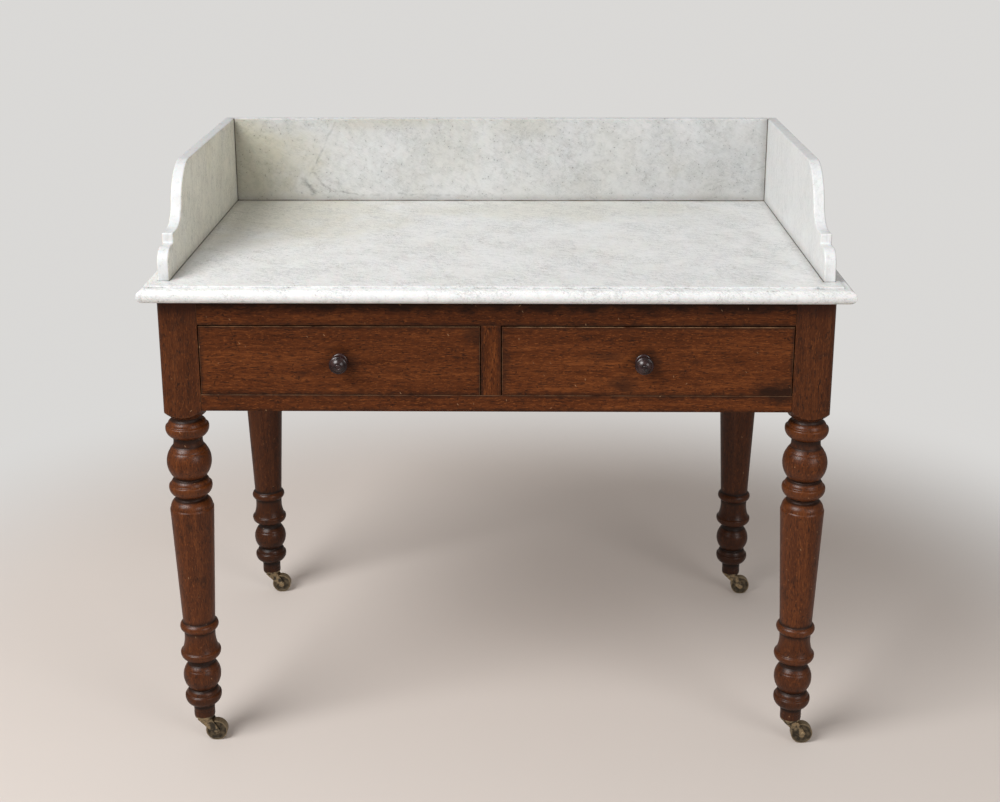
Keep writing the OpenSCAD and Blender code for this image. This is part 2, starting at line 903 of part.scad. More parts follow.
module centre_guide() {
    color(pine)
        span([muntin_left, face_y + muntin_t, opening_bottom],
             [muntin_right, panel_y, opening_bottom + guide_h]);
}

module kicker_stub() {
    span([runner_x + tenon_shoulder, face_y + top_rail_t - stub_len, opening_top + tenon_shoulder],
         [inner_x - tenon_shoulder, face_y + top_rail_t, opening_top + runner_t - tenon_shoulder]);
}

module side_kicker(side) {
    color(pine)
        on_side(side) {
            span([runner_x, face_y + top_rail_t, opening_top],
                 [inner_x, back_block_y, opening_top + runner_t]);
            kicker_stub();
        }
}

// Stubs at both ends of the centre kicker.
module centre_kicker_stub() {
    half = centre_runner_w / 2 - tenon_shoulder;
    rail_back = face_y + top_rail_t;
    span([muntin_shift - half, rail_back - stub_len, opening_top + tenon_shoulder],
         [muntin_shift + half, rail_back, opening_top + runner_t - tenon_shoulder]);
    span([muntin_shift - half, panel_y, opening_top + tenon_shoulder],
         [muntin_shift + half, panel_y + stub_len, opening_top + runner_t - tenon_shoulder]);
}

module centre_kicker() {
    half = centre_runner_w / 2;
    color(pine) {
        span([muntin_shift - half, face_y + top_rail_t, opening_top],
             [muntin_shift + half, panel_y, opening_top + runner_t]);
        centre_kicker_stub();
    }
}

module drawer_stops() {
    y = face_y + front_t + stop_gap;
    color(pine)
        for (ends = [[-inner_x, muntin_left], [muntin_right, inner_x]])
            for (spot = stop_spots)
                let (x = ends[0] + spot * (ends[1] - ends[0]))
                    span([x - stop_len / 2, y, opening_bottom],
                         [x + stop_len / 2, y + stop_d, opening_bottom + stop_h]);
}

// ---- Drawers: drawn about X = 0, with the face at Y = 0 and the lower edge at Z = 0 ----

function opening_low(drawer) = drawer < 0 ? -inner_x : muntin_right;
function opening_high(drawer) = drawer < 0 ? muntin_left : inner_x;
function drawer_w(drawer) = opening_high(drawer) - opening_low(drawer) - 2 * drawer_side_gap;
function drawer_x(drawer) = (opening_high(drawer) + opening_low(drawer)) / 2;

module place_drawer(drawer) {
    translate([drawer_x(drawer), face_y, drawer_z])
        children();
}

// Dovetails seen along X, pointing to -Y from Y = 0: narrow at the root, wide at the tip.
module tail_shapes(length, pitch) {
    flare = length * tail_slope;
    root = pitch * tail_share - flare;
    for (i = [0 : tails - 1])
        translate([0, (i + 0.5) * pitch])
            polygon([[cut, -root / 2], [0, -root / 2], [-length, -root / 2 - flare],
                     [-length, root / 2 + flare], [0, root / 2], [cut, root / 2]]);
}

module front_tails() {
    translate([front_t, 0])
        tail_shapes(front_t - lap_t, front_tail_pitch);
}

module rear_tails() {
    translate([drawer_len - drawer_side_t, drawer_back_z])
        mirror([1, 0])
            tail_shapes(drawer_side_t, rear_tail_pitch);
}

// Lays an outline drawn along Y and Z upright, as thick as a side board, on the right of a drawer.
module at_side(w) {
    translate([w / 2 - drawer_side_t, 0, 0])
        rotate([90, 0, 90])
            linear_extrude(drawer_side_t)
                children();
}

// Right-hand side board of a drawer: tails at the front and at the back, groove inside.
module side_board(w) {
    difference() {
        union() {
            at_side(w)
                translate([front_t, 0])
                    square([drawer_len - drawer_side_t - front_t, drawer_side_h]);
            at_side(w)
                translate([front_t, 0])
                    square([drawer_len - front_t, drawer_back_z]);
            at_side(w)
                front_tails();
            at_side(w)
                rear_tails();
        }
        span([w / 2 - drawer_side_t - cut, 0, bottom_rise - groove_gap],
             [w / 2 - drawer_side_t + groove_depth, drawer_len + cut, drawer_back_z]);
    }
}

module drawer_side(drawer, side) {
    color(pine)
        place_drawer(drawer)
            on_side(side)
                side_board(drawer_w(drawer));
}

module drawer_front(drawer) {
    w = drawer_w(drawer);
    groove_x = w / 2 - drawer_side_t + groove_depth;
    color(mahogany)
        place_drawer(drawer)
            difference() {
                span([-w / 2, 0, 0], [w / 2, front_t, drawer_h]);
                for (side = [-1, 1])
                    on_side(side)
                        at_side(w)
                            front_tails();
                span([-groove_x, front_t - groove_depth, bottom_rise - groove_gap],
                     [groove_x, front_t + cut, drawer_back_z]);
                translate([knob_x(drawer), -cut, drawer_h / 2])
                    rotate([-90, 0, 0])
                        cylinder(h = front_t + 2 * cut, d = spigot_d + 2 * fit_gap);
            }
}

module drawer_back(drawer) {
    w = drawer_w(drawer);
    color(pine)
        place_drawer(drawer)
            difference() {
                span([-w / 2, drawer_len - drawer_side_t, drawer_back_z],
                     [w / 2, drawer_len, drawer_side_h]);
                for (side = [-1, 1])
                    on_side(side)
                        at_side(w)
                            rear_tails();
            }
}

module drawer_bottom(drawer) {
    w = drawer_w(drawer);
    half = w / 2 - drawer_side_t + groove_depth - groove_gap;
    color(pine)
        place_drawer(drawer)
            span([-half, front_t - groove_depth + groove_gap, bottom_rise],
                 [half, drawer_len, bottom_rise + drawer_bottom_t]);
}

// ---- Knobs ----

function knob_x(drawer) = drawer < 0 ? 0 : right_knob_shift;

// Half profile of a knob: radius along X, distance from the drawer along Y.
module knob_profile() {
    head_y = knob_reach - knob_rim_t;
    stem_h = head_y - knob_rim_back - knob_foot_t;
    stem_r = knob_stem_d / 2;
    rim_h = knob_rim_back + knob_rim_t - knob_dome_rise;
    dome_r = knob_d / 2 - knob_groove;
    dome_arc = arc_r(2 * dome_r, knob_dome_rise);
    pip_r = knob_ring_r - knob_ring_groove_r / 2;
    translate([0, -front_t])
        square([spigot_d / 2, front_t]);
    bead(0, knob_foot_t, knob_foot_d / 2 - fillet_w, knob_foot_d / 2);
    cove(knob_foot_t, stem_h, stem_r + fillet_w, stem_r);
    bead(head_y - knob_rim_back, rim_h, knob_d / 2 - knob_groove - fillet_w, knob_d / 2);
    difference() {
        intersection() {
            translate([0, knob_reach - dome_arc])
                circle(dome_arc);
            translate([0, head_y])
                square([dome_r, knob_rim_t]);
        }
        translate([knob_ring_r, knob_reach])
            circle(knob_ring_groove_r);
    }
    intersection() {
        translate([0, knob_reach - pip_r])
            circle(pip_r);
        translate([0, head_y])
            square([pip_r, knob_rim_t]);
    }
}

module drawer_knob(drawer) {
    color(ebonised)
        place_drawer(drawer)
            translate([knob_x(drawer), 0, drawer_h / 2])
                rotate([90, 0, 0])
                    rotate_extrude()
                        knob_profile();
}

// ---- Castors: drawn about a leg's axis, trailing towards +X ----

corners = [[-1, -1], [1, -1], [-1, 1], [1, 1]];
function corner_x(corner) = corner[0] * (corner[1] < 0 ? leg_x : back_leg_x);
function corner_y(corner) = corner[1] < 0 ? leg_y : back_leg_y;

module at_corner(corner) {
    translate([corner_x(corner), corner_y(corner), 0])
        children();
}

module castor_plate() {
    difference() {
        translate([0, 0, plate_bottom])
            cylinder(h = plate_t, d = plate_d);
        translate([0, 0, plate_bottom - cut])
            cylinder(h = plate_t + 2 * cut, d = pintle_d + 2 * running_gap);
        for (a = screw_angles)
            rotate([0, 0, a])
                translate([screw_ring_r, 0, 0])
                    plate_screw_room();
    }
}

// The countersunk hole of one plate screw.
module plate_screw_room() {
    translate([0, 0, plate_bottom - cut])
        cylinder(h = plate_t + 2 * cut, d = screw_d + 2 * fit_gap);
    translate([0, 0, plate_bottom - fit_gap])
        cylinder(h = screw_head_h + fit_gap, d1 = screw_head_d + 2 * fit_gap, d2 = screw_d + 2 * fit_gap);
}

module plate_screw() {
    translate([0, 0, plate_bottom])
        cylinder(h = screw_head_h, d1 = screw_head_d, d2 = screw_d);
    translate([0, 0, plate_bottom])
        cylinder(h = screw_len, d = screw_d);
}

module castor_plates() {
    color(brass)
        for (corner = corners)
            at_corner(corner)
                castor_plate();
}

module castor_screws() {
    color(brass)
        for (corner = corners)
            at_corner(corner)
                for (a = screw_angles)
                    rotate([0, 0, a])
                        translate([screw_ring_r, 0, 0])
                            plate_screw();
}

// Where the line from a point touches a circle, on the side given by turn (1 or -1).
function touch(p, c, r, turn) =
    let (d = norm(c - p))
    let (base = atan2(c[1] - p[1], c[0] - p[0]))
    let (open = asin(r / d))
    sqrt(d * d - r * r) * [cos(base + turn * open), sin(base + turn * open)] + p;

// A cheek of the horn: a tongue from the crown to a round eye about the axle.
module cheek_outline() {
    eye = [trail, axle_z];
    toe = [-crown_d / 2 + cheek_toe_in, crown_bottom + cut];
    heel = [crown_d / 2 - cheek_heel_in, crown_bottom + cut];
    difference() {
        union() {
            polygon([toe, touch(toe, eye, cheek_r, -1), eye, touch(heel, eye, cheek_r, 1), heel]);
            translate(eye)
                circle(cheek_r);
        }
        translate(eye)
            circle(d = axle_d + 2 * running_gap);
    }
}

module castor_horn(corner) {
    color(brass)
        at_corner(corner) {
            translate([0, 0, crown_bottom])
                cylinder(h = crown_t, d = crown_d);
            translate([0, 0, crown_bottom])
                cylinder(h = collar_z + pintle_collar_t - crown_bottom, d = pintle_d);
            translate([0, 0, collar_z])
                cylinder(h = pintle_collar_t, d = pintle_collar_d);
            for (turn = [-1, 1])
                translate([0, turn > 0 ? cheek_out : -cheek_in, 0])
                    rotate([90, 0, 0])
                        linear_extrude(cheek_t)
                            cheek_outline();
        }
}

module castor_axle(corner) {
    color(brass)
        at_corner(corner)
            translate([trail, 0, axle_z])
                rotate([90, 0, 0]) {
                    cylinder(h = 2 * cheek_out, d = axle_d, center = true);
                    for (turn = [-1, 1])
                        translate([0, 0, turn * (cheek_out + axle_head_t / 2 + fit_gap)])
                            axle_head(turn);
                }
}

module axle_head(turn) {
    mirror([0, 0, turn < 0 ? 1 : 0])
        translate([0, 0, -axle_head_t / 2])
            rotate_extrude()
                intersection() {
                    translate([0, axle_head_t - arc_r(axle_head_d, axle_head_t)])
                        circle(arc_r(axle_head_d, axle_head_t));
                    translate([0, -fit_gap])
                        square([axle_head_d / 2, axle_head_t + fit_gap]);
                }
}

module castor_wheel(corner) {
    dish_r = wheel_d / 2 - wheel_rim;
    hub_r = axle_d / 2 + wheel_hub;
    color(bronze)
        at_corner(corner)
            translate([trail, 0, axle_z])
                rotate([90, 0, 0])
                    rotate_extrude()
                        difference() {
                            translate([axle_d / 2 + running_gap, -wheel_w / 2])
                                square([wheel_d / 2 - axle_d / 2 - running_gap, wheel_w]);
                            for (end = [-1, 1])
                                translate([hub_r, end > 0 ? wheel_w / 2 - wheel_dish : -wheel_w / 2 - cut])
                                    square([dish_r - hub_r, wheel_dish + cut]);
                        }
}

// ---- The parts ----

marble_top();
back_splash();
side_splash(-1);  // left_splash
side_splash(1);  // right_splash
splash_dowels();
front_leg(-1);  // leg_front_left
front_leg(1);  // leg_front_right
back_leg(-1);  // leg_back_left
back_leg(1);  // leg_back_right
top_rail();
bottom_rail();
muntin();
end_panel(-1);  // left_end_panel
end_panel(1);  // right_end_panel
back_panel();
side_runner(-1);  // left_runner
side_runner(1);  // right_runner
centre_runner();
side_guide(-1);  // left_guide
side_guide(1);  // right_guide
centre_guide();
side_kicker(-1);  // left_kicker
side_kicker(1);  // right_kicker
centre_kicker();
drawer_stops();
drawer_front(-1);  // left_drawer_front
drawer_side(-1, -1);  // left_drawer_left_side
drawer_side(-1, 1);  // left_drawer_right_side
drawer_back(-1);  // left_drawer_back
drawer_bottom(-1);  // left_drawer_bottom
drawer_knob(-1);  // left_drawer_knob
drawer_front(1);  // right_drawer_front
drawer_side(1, -1);  // right_drawer_left_side
drawer_side(1, 1);  // right_drawer_right_side
drawer_back(1);  // right_drawer_back
drawer_bottom(1);  // right_drawer_bottom
drawer_knob(1);  // right_drawer_knob
castor_plates();
castor_screws();
castor_horn([-1, -1]);  // castor_horn_front_left
castor_horn([1, -1]);  // castor_horn_front_right
castor_horn([-1, 1]);  // castor_horn_back_left
castor_horn([1, 1]);  // castor_horn_back_right
castor_axle([-1, -1]);  // castor_axle_front_left
castor_axle([1, -1]);  // castor_axle_front_right
castor_axle([-1, 1]);  // castor_axle_back_left
castor_axle([1, 1]);  // castor_axle_back_right
castor_wheel([-1, -1]);  // castor_wheel_front_left
castor_wheel([1, -1]);  // castor_wheel_front_right
castor_wheel([-1, 1]);  // castor_wheel_back_left
castor_wheel([1, 1]);  // castor_wheel_back_right
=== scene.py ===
"""The looks of a Victorian washstand: veined marble, polished mahogany, turned legs and brass castors."""

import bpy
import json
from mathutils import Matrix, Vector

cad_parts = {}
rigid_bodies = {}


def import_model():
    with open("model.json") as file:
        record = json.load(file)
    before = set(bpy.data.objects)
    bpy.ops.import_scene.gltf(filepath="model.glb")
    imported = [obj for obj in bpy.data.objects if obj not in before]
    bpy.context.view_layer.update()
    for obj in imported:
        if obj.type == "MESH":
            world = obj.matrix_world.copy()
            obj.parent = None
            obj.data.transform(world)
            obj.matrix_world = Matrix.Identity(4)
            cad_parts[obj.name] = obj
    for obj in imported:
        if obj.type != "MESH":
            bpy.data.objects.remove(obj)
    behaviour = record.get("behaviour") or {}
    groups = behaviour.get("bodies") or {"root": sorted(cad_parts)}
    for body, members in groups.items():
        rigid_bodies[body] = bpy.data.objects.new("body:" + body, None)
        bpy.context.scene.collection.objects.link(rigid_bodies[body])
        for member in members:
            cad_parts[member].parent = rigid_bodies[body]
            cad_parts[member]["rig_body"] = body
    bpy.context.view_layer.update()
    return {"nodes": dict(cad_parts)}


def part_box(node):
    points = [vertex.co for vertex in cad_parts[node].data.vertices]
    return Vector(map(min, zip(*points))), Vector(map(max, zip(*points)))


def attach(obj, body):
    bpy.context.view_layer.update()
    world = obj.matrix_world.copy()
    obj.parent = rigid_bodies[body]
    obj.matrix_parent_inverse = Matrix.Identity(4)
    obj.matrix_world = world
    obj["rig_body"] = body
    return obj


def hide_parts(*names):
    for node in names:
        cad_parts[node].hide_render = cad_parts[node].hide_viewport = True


bl_info = {
    "name": "Marble-topped washstand",
    "version": (1, 0, 0),
    "blender": (4, 5, 0),
    "location": "View3D > Sidebar > Washstand",
    "description": "Dresses the washstand's pieces in marble, mahogany and brass, and lights them",
    "category": "Object",
}

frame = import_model()

import functools
import json
import math

import bmesh
import bpy
from bpy.props import FloatProperty, FloatVectorProperty, IntProperty, PointerProperty
from mathutils import Matrix, Vector
from mathutils.bvhtree import BVHTree

SIDES = ("left", "right")
CORNERS = ("front_left", "front_right", "back_left", "back_right")

WELD = 2e-5  # points of a mesh this close are one point
CRUMB = 2e-6  # edges shorter than this go after rounding
SLIVER = 1.2e-4  # edges shorter than this go where a leg's block is cut off
FLAT = math.radians(0.5)  # faces that meet at a smaller angle are one flat face
ROUNDED = math.radians(28)  # an edge sharper than this is rounded
SHADED_SHARP = math.radians(35)  # an edge sharper than this is shaded as an edge
JOINT_SHARES = (0.30, 0.30, 1.3, 1.0, 1.0)  # how thick the filling is in each of joint_lines

# Marks on the marble and the wood. A vein is (start, end, width, wander, strength); a stain,
# a patch of dirt and a patch of painted shade are each (centre, reach, strength). Places are (x, z)
# on an upright face and (x, y, z) on the slab.
SLAB_TOP, SLAB_STEP = 0.770, 0.767
# The first is a vein in the stone; the other three are painted shade along the step above the slab's nose.
SLAB_VEINS_AND_STEP_SHADE = (((0.010, -0.263, SLAB_TOP), (0.032, -0.253, SLAB_TOP), 0.0030, 0.004, 0.45),
              ((-0.504, -0.294, SLAB_STEP), (0.504, -0.294, SLAB_STEP), 0.0022, 0.0005, 0.70),
              ((-0.504, -0.294, SLAB_STEP), (-0.504, 0.31, SLAB_STEP), 0.0022, 0.0005, 0.70),
              ((0.504, -0.294, SLAB_STEP), (0.504, 0.31, SLAB_STEP), 0.0022, 0.0005, 0.70))
SLAB_STAINS = (((-0.42, 0.20, SLAB_TOP), (0.36, 0.34, 0.10), 0.50),
               ((0.10, 0.22, SLAB_TOP), (0.46, 0.12, 0.10), 0.34))
BACK_VEINS = (((-0.298, 0.912), (-0.322, 0.863), 0.0046, 0.006, 0.80),
              ((-0.322, 0.863), (-0.350, 0.815), 0.0050, 0.008, 0.85),
              ((-0.342, 0.823), (-0.305, 0.785), 0.0050, 0.012, 0.72),
              ((-0.362, 0.808), (-0.338, 0.786), 0.0120, 0.016, 0.74),
              ((-0.306, 0.785), (-0.055, 0.779), 0.0034, 0.010, 0.50),
              ((0.036, 0.900), (-0.012, 0.806), 0.0036, 0.010, 0.25),
              ((0.371, 0.797), (0.478, 0.834), 0.0034, 0.009, 0.45))
# The first darkens the back splash's left end: a yellow stain and painted shade.
BACK_STAINS_AND_SHADE = (((-0.47, 0.84), (0.19, 0.15), 0.75), ((-0.20, 0.92), (0.22, 0.035), 0.40),
               ((0.05, 0.91), (0.10, 0.050), 0.30))
# painted shadow of the slab along the top of the top rail
TOP_RAIL_SHADOW = (((0.0, 0.744), (3.0, 0.026), 0.90),)
BOTTOM_RAIL_DIRT = (((0.414, 0.600), (0.050, 0.022), 0.85),)
RIGHT_FRONT_DIRT = (((0.414, 0.606), (0.055, 0.024), 0.90), ((0.192, 0.615), (0.030, 0.020), 0.60),
                    ((0.160, 0.660), (0.040, 0.010), 0.45))
LEFT_FRONT_CRACK = ((-0.3906, 0.700), (-0.379, 0.667))


# ---- Settings ----

def colour_prop(name, description, default):
    return FloatVectorProperty(name=name, description=description, default=default, size=3,
                               subtype="COLOR", min=0.0, max=1.0)


def amount_prop(name, description, default, **options):
    return FloatProperty(name=name, description=description, default=default, min=0.0, **options)


def length_prop(name, description, default):
    return amount_prop(name, description, default, subtype="DISTANCE", unit="LENGTH")


def place_prop(name, description, default):
    return FloatVectorProperty(name=name, description=description, default=default, size=3,
                               subtype="TRANSLATION", unit="LENGTH")


def angle_prop(name, description, degrees):
    return FloatProperty(name=name, description=description, default=math.radians(degrees), subtype="ANGLE")


class MarbleSettings(bpy.types.PropertyGroup):
    white: colour_prop("White", "Clear ground of the marble", (0.785, 0.787, 0.778))
    # grey also paints the shade along the slab's step
    grey: colour_prop("Grey", "Veins, wisps and clouds in the marble", (0.29, 0.295, 0.29))
    stain: colour_prop("Stain", "What an old yellowish stain leaves of the colour", (0.72, 0.67, 0.50))
    # dirt also colours the painted shade beside the joints
    dirt: colour_prop("Dirt", "Dirt along the joints", (0.12, 0.095, 0.065))
    arris: length_prop("Arris", "Width of the side splashes' rounded edges", 0.0026)
    back_arris: length_prop("Back arris", "Width of the back splash's rounded edges", 0.00156)
    slab_arris: length_prop("Slab arris", "Width of the slab's rounded edges", 0.0006)
    joint: length_prop("Joint", "Radius of the dark line in the joints", 0.0007)


class WoodSettings(bpy.types.PropertyGroup):
    light: colour_prop("Light", "Light fibres of the mahogany", (0.205, 0.060, 0.0140))
    middle: colour_prop("Middle", "Middle tone of the mahogany", (0.092, 0.0235, 0.0055))
    # dark also paints shade: in the legs' hollows, on their blocks and in some patches
    dark: colour_prop("Dark", "Dark fibres, pores and old dirt", (0.018, 0.0065, 0.003))
    # worn also paints the highlight on upward arrises
    worn: colour_prop("Worn", "Wood laid bare on edges and in nicks", (0.40, 0.23, 0.12))
    pine: colour_prop("Pine", "Bare boards inside", (0.42, 0.26, 0.13))
    arris: length_prop("Arris", "Width of the worn board edges", 0.0009)
    knob_arris: length_prop("Knob arris", "Width of the knobs' rounded edges", 0.0003)


class MetalSettings(bpy.types.PropertyGroup):
    brass: colour_prop("Brass", "Rubbed brass", (0.60, 0.45, 0.27))
    tarnish: colour_prop("Tarnish", "Tarnish on the brass", (0.055, 0.043, 0.029))
    arris: length_prop("Arris", "Width of the plates' and horns' rounded edges", 0.0003)
    axle_arris: length_prop("Axle arris", "Width of the axles' rounded edges", 0.0002)
    wheel_arris: length_prop("Wheel arris", "Width of the wheels' rounded edges", 0.0005)
    slot_width: length_prop("Slot width", "Width of the screw slots", 0.0006)
    slot_depth: length_prop("Slot depth", "Depth of the screw slots", 0.0007)


class TurningSettings(bpy.types.PropertyGroup):
    segments: IntProperty(name="Segments", description="Sides of a turned leg", default=64, min=24)
    step: length_prop("Step", "Spacing of the rings along a turned leg", 0.0007)
    wear: length_prop("Wear", "How far the sharp turned edges are worn round", 0.0006)
    hollow_reach: length_prop("Hollow reach", "Length over which hollows are told from crests", 0.0055)
    hollow_depth: length_prop("Hollow depth", "Depth that counts as a full hollow", 0.003)
    tuck: length_prop("Tuck", "How far the turning reaches into its square block", 0.0015)
    block_foot: length_prop("Block foot", "Height at which the turned leg meets its square block", 0.556)


class StageSettings(bpy.types.PropertyGroup):
    camera_place: place_prop("Camera", "Place of the camera", (0.03435, -2.39333, 1.35077))
    yaw: angle_prop("Yaw", "Turn of the camera to the right", -0.756)
    pitch: angle_prop("Pitch", "How far the camera looks down", 15.753)
    roll: angle_prop("Roll", "Lean of the camera", -0.095)
    lens: amount_prop("Lens", "Focal length in millimetres", 54.19)
    shift: FloatProperty(name="Shift", description="Vertical lens shift", default=-0.1069)
    window_place: place_prop("Window", "Place of the large soft light", (-2.2, -2.1, 3.15))
    window_size: length_prop("Window size", "Width of the large soft light", 2.4)
    window_power: amount_prop("Window power", "Its strength in watts", 146.0)
    fill_place: place_prop("Fill", "Place of the weaker light from the right", (2.6, -3.0, 1.8))
    fill_size: length_prop("Fill size", "Width of the weaker light", 2.0)
    fill_power: amount_prop("Fill power", "Its strength in watts", 36.0)
    sky: amount_prop("Sky", "Strength of the light from all around", 0.41)
    floor: colour_prop("Floor", "Colour of the floor", (0.66, 0.60, 0.555))
    backdrop: colour_prop("Backdrop", "Colour of the backdrop", (0.70, 0.69, 0.675))
    room: colour_prop("Room", "Dim room that glossy surfaces reflect", (0.17, 0.16, 0.15))


# ---- Shaders written as arithmetic ----

def add_node(tree, kind, inputs, **settings):
    """Adds a node: its settings first, then the values or links of its sockets."""
    node = tree.nodes.new(kind)
    for name, value in settings.items():
        setattr(node, name, value)
    for key, value in inputs.items():
        if isinstance(value, bpy.types.NodeSocket):
            tree.links.new(value, node.inputs[key])
        else:
            node.inputs[key].default_value = value
    return node


class Value:
    """A node socket that varies over a surface, with Python's arithmetic."""

    def __init__(self, shader, socket):
        self.shader = shader
        self.socket = socket

    def __add__(self, other):
        return self.shader.math("ADD", self, other)

    def __sub__(self, other):
        return self.shader.math("SUBTRACT", self, other)

    def __rsub__(self, other):
        return self.shader.math("SUBTRACT", other, self)

    def __mul__(self, other):
        return self.shader.math("MULTIPLY", self, other)

    def __abs__(self):
        return self.shader.math("ABSOLUTE", self)

    __radd__ = __add__


class Shader:
    """One material's node tree."""

    def __init__(self, name):
        self.material = bpy.data.materials.new(name)
        self.material.use_nodes = True
        self.tree = self.material.node_tree
        self.tree.nodes.clear()

    def node(self, kind, inputs, output=0, **settings):
        """Adds a node and gives one of its outputs."""
        sockets = {key: value.socket if isinstance(value, Value) else value for key, value in inputs.items()}
        return Value(self, add_node(self.tree, kind, sockets, **settings).outputs[output])

    def math(self, operation, a, b=0.0):
        return self.node("ShaderNodeMath", {0: a, 1: b}, operation=operation)

    def vector(self, operation, a, b):
        return self.node("ShaderNodeVectorMath", {0: a, 1: b}, operation=operation)

    def point(self):
        """The place on the piece, in metres in the washstand's own frame."""
        return self.node("ShaderNodeTexCoord", {}, "Object")

    def part(self, point, axis):
        return self.node("ShaderNodeSeparateXYZ", {0: point}, axis)

    def facing(self, axis):
        """How far the surface faces along an axis, from -1 to 1."""
        return self.part(self.node("ShaderNodeTexCoord", {}, "Normal"), axis)

    def moved(self, point, place=(0, 0, 0), turn=(0, 0, 0), scale=(1, 1, 1)):
        angles = [math.radians(a) for a in turn]
        return self.node("ShaderNodeMapping",
                         {"Vector": point, "Location": place, "Rotation": angles, "Scale": scale})

    def noise(self, point, size, detail=3.0, roughness=0.5, output=0):
        """Fractal noise whose features are about size across, in metres."""
        return self.node("ShaderNodeTexNoise", {"Vector": point, "Scale": 1.0 / size, "Detail": detail,
                                                "Roughness": roughness}, output)

    def warped(self, point, size, reach):
        """The point pushed about by noise, up to about reach."""
        push = self.vector("SUBTRACT", self.noise(point, size, 2.0, output=1), (0.5, 0.5, 0.5))
        return self.vector("ADD", point, self.vector("MULTIPLY", push, (2 * reach,) * 3))

    def off_line(self, place, start, end):
        """Distance from the straight line between two places."""
        start, run = Vector(start), Vector(end) - Vector(start)
        way = self.vector("SUBTRACT", place, tuple(start))
        along = self.node("ShaderNodeVectorMath", {0: way, 1: tuple(run / run.length_squared)}, "Value",
                          operation="DOT_PRODUCT")
        along = self.math("MINIMUM", self.math("MAXIMUM", along, 0.0), 1.0)
        foot = self.node("ShaderNodeVectorMath", {0: tuple(run), "Scale": along}, operation="SCALE")
        return self.length(self.vector("SUBTRACT", way, foot))

    def length(self, vector):
        return self.node("ShaderNodeVectorMath", {0: vector}, "Value", operation="LENGTH")

    def within(self, place, centre, reach, ragged):
        """1 in the middle of an ellipsoid, 0 outside it, with an edge made ragged by a value round 0."""
        away = self.length(self.vector("DIVIDE", self.vector("SUBTRACT", place, centre), reach))
        return self.ramp(away + ragged, 1.0, 0.2)

    def attribute(self, name):
        """A number stored on the piece's own mesh."""
        return self.node("ShaderNodeAttribute", {}, "Fac", attribute_name=name)

    def ramp(self, value, low, high):
        """0 below low, 1 above high, smooth between; low may be the larger one."""
        return self.node("ShaderNodeMapRange", {"Value": value, "From Min": low, "From Max": high},
                         interpolation_type="SMOOTHSTEP")

    def mix(self, a, b, factor, blend="MIX"):
        def colour(c):
            return c if isinstance(c, Value) else (*c, 1.0)
        return self.node("ShaderNodeMix", {0: factor, 6: colour(a), 7: colour(b)}, 2, data_type="RGBA",
                         blend_type=blend, clamp_factor=True)

    def chain(self, operation, values):
        """One value out of a list of them, by MINIMUM, MAXIMUM or ADD."""
        return functools.reduce(lambda a, b: self.math(operation, a, b), values)

    def bump(self, height, distance):
        return self.node("ShaderNodeBump", {"Height": height, "Distance": distance})

    def finish(self, **sockets):
        """Ends the tree in a Principled BSDF whose sockets are given by name, with _ for a space."""
        surface = self.node("ShaderNodeBsdfPrincipled",
                            {name.replace("_", " "): value for name, value in sockets.items()})
        self.node_output(surface)
        return self.material

    def node_output(self, surface):
        """Ends the tree in a surface."""
        output = self.tree.nodes.new("ShaderNodeOutputMaterial")
        self.tree.links.new(surface.socket, output.inputs["Surface"])


# ---- Finishes ----
# s is the finish's Shader, place a point of the piece, and q that point with the pattern turned along X.

GRAIN_TURN = {"X": (0, 0, 0), "Y": (0, 0, -90), "Z": (0, 90, 0)}


def streaks(s, point, along, across, detail=3.0, roughness=0.55):
    """Noise drawn out along X: features are along by across, in metres."""
    drawn = s.moved(point, scale=(1.0 / along, 1.0 / across, 1.0 / across))
    return s.noise(drawn, 1.0, detail, roughness)


def edge_distance(s, point, box, axes):
    """Distance to the nearest edge of a board, over the given axes."""
    low, high = box
    gaps = []
    for axis in axes:
        place = s.part(point, axis)
        index = "XYZ".index(axis)
        gaps += [place - low[index], high[index] - place]
    return s.chain("MINIMUM", gaps)


def scuffs(s, point, grain):
    """Pale nicks and short scratches: thin cells, each set turned another way, most of them left out."""
    cell, thin = 0.010, 0.32
    marks = []
    for turn, left_out in ((35, 0.74), (-50, 0.76), (8, 0.73)):
        turns, scale = ((turn, 0, 0), (1, thin, 1)) if grain == "Y" else ((0, turn, 0), (1, 1, thin))
        drawn = s.moved(s.moved(point, (turn * 0.31, 0, turn * 0.17), turns), scale=scale)
        cells = {"Vector": drawn, "Scale": 1 / cell}
        pick = s.part(s.node("ShaderNodeTexVoronoi", cells, "Color"), "X")
        mark = s.ramp(s.node("ShaderNodeTexVoronoi", cells, "Distance"), 0.090, 0.02)
        marks.append(mark * s.ramp(pick, left_out, left_out + 0.01))
    return s.chain("MAXIMUM", marks)


def clean_mahogany(s, place, q, fibre, mottle, contrast):
    """The colour of clean mahogany whose grain runs along X at q, and its pores."""
    wood = bpy.context.scene.washstand_wood
    figure = streaks(s, q, 0.35, 0.024)
    bands = streaks(s, q, 0.090, 0.0055, 3.0, 0.6)
    light = s.ramp(figure * 0.30 + bands * 0.35 + fibre * 0.45, 0.52, 0.80) * contrast
    dark = s.ramp(figure * 0.30 + bands * 0.40 + fibre * 0.40, 0.56, 0.34) * contrast
    flecks = s.ramp(streaks(s, q, 0.007, 0.0014, 2.0, 0.6), 0.55, 0.70) * 0.80
    pores = s.ramp(streaks(s, q, 0.010, 0.0011, 1.0), 0.57, 0.70)
    pits = s.ramp(s.noise(place, 0.0042, 2.0), 0.62, 0.72) * s.ramp(mottle, 0.42, 0.56)
    colour = s.mix(wood.middle, wood.light, light)
    colour = s.mix(colour, [c * 0.42 for c in wood.middle], dark)
    colour = s.mix(colour, wood.light, flecks)
    return s.mix(colour, wood.dark, s.math("MAXIMUM", pores * 0.86, pits * 0.80)), pores


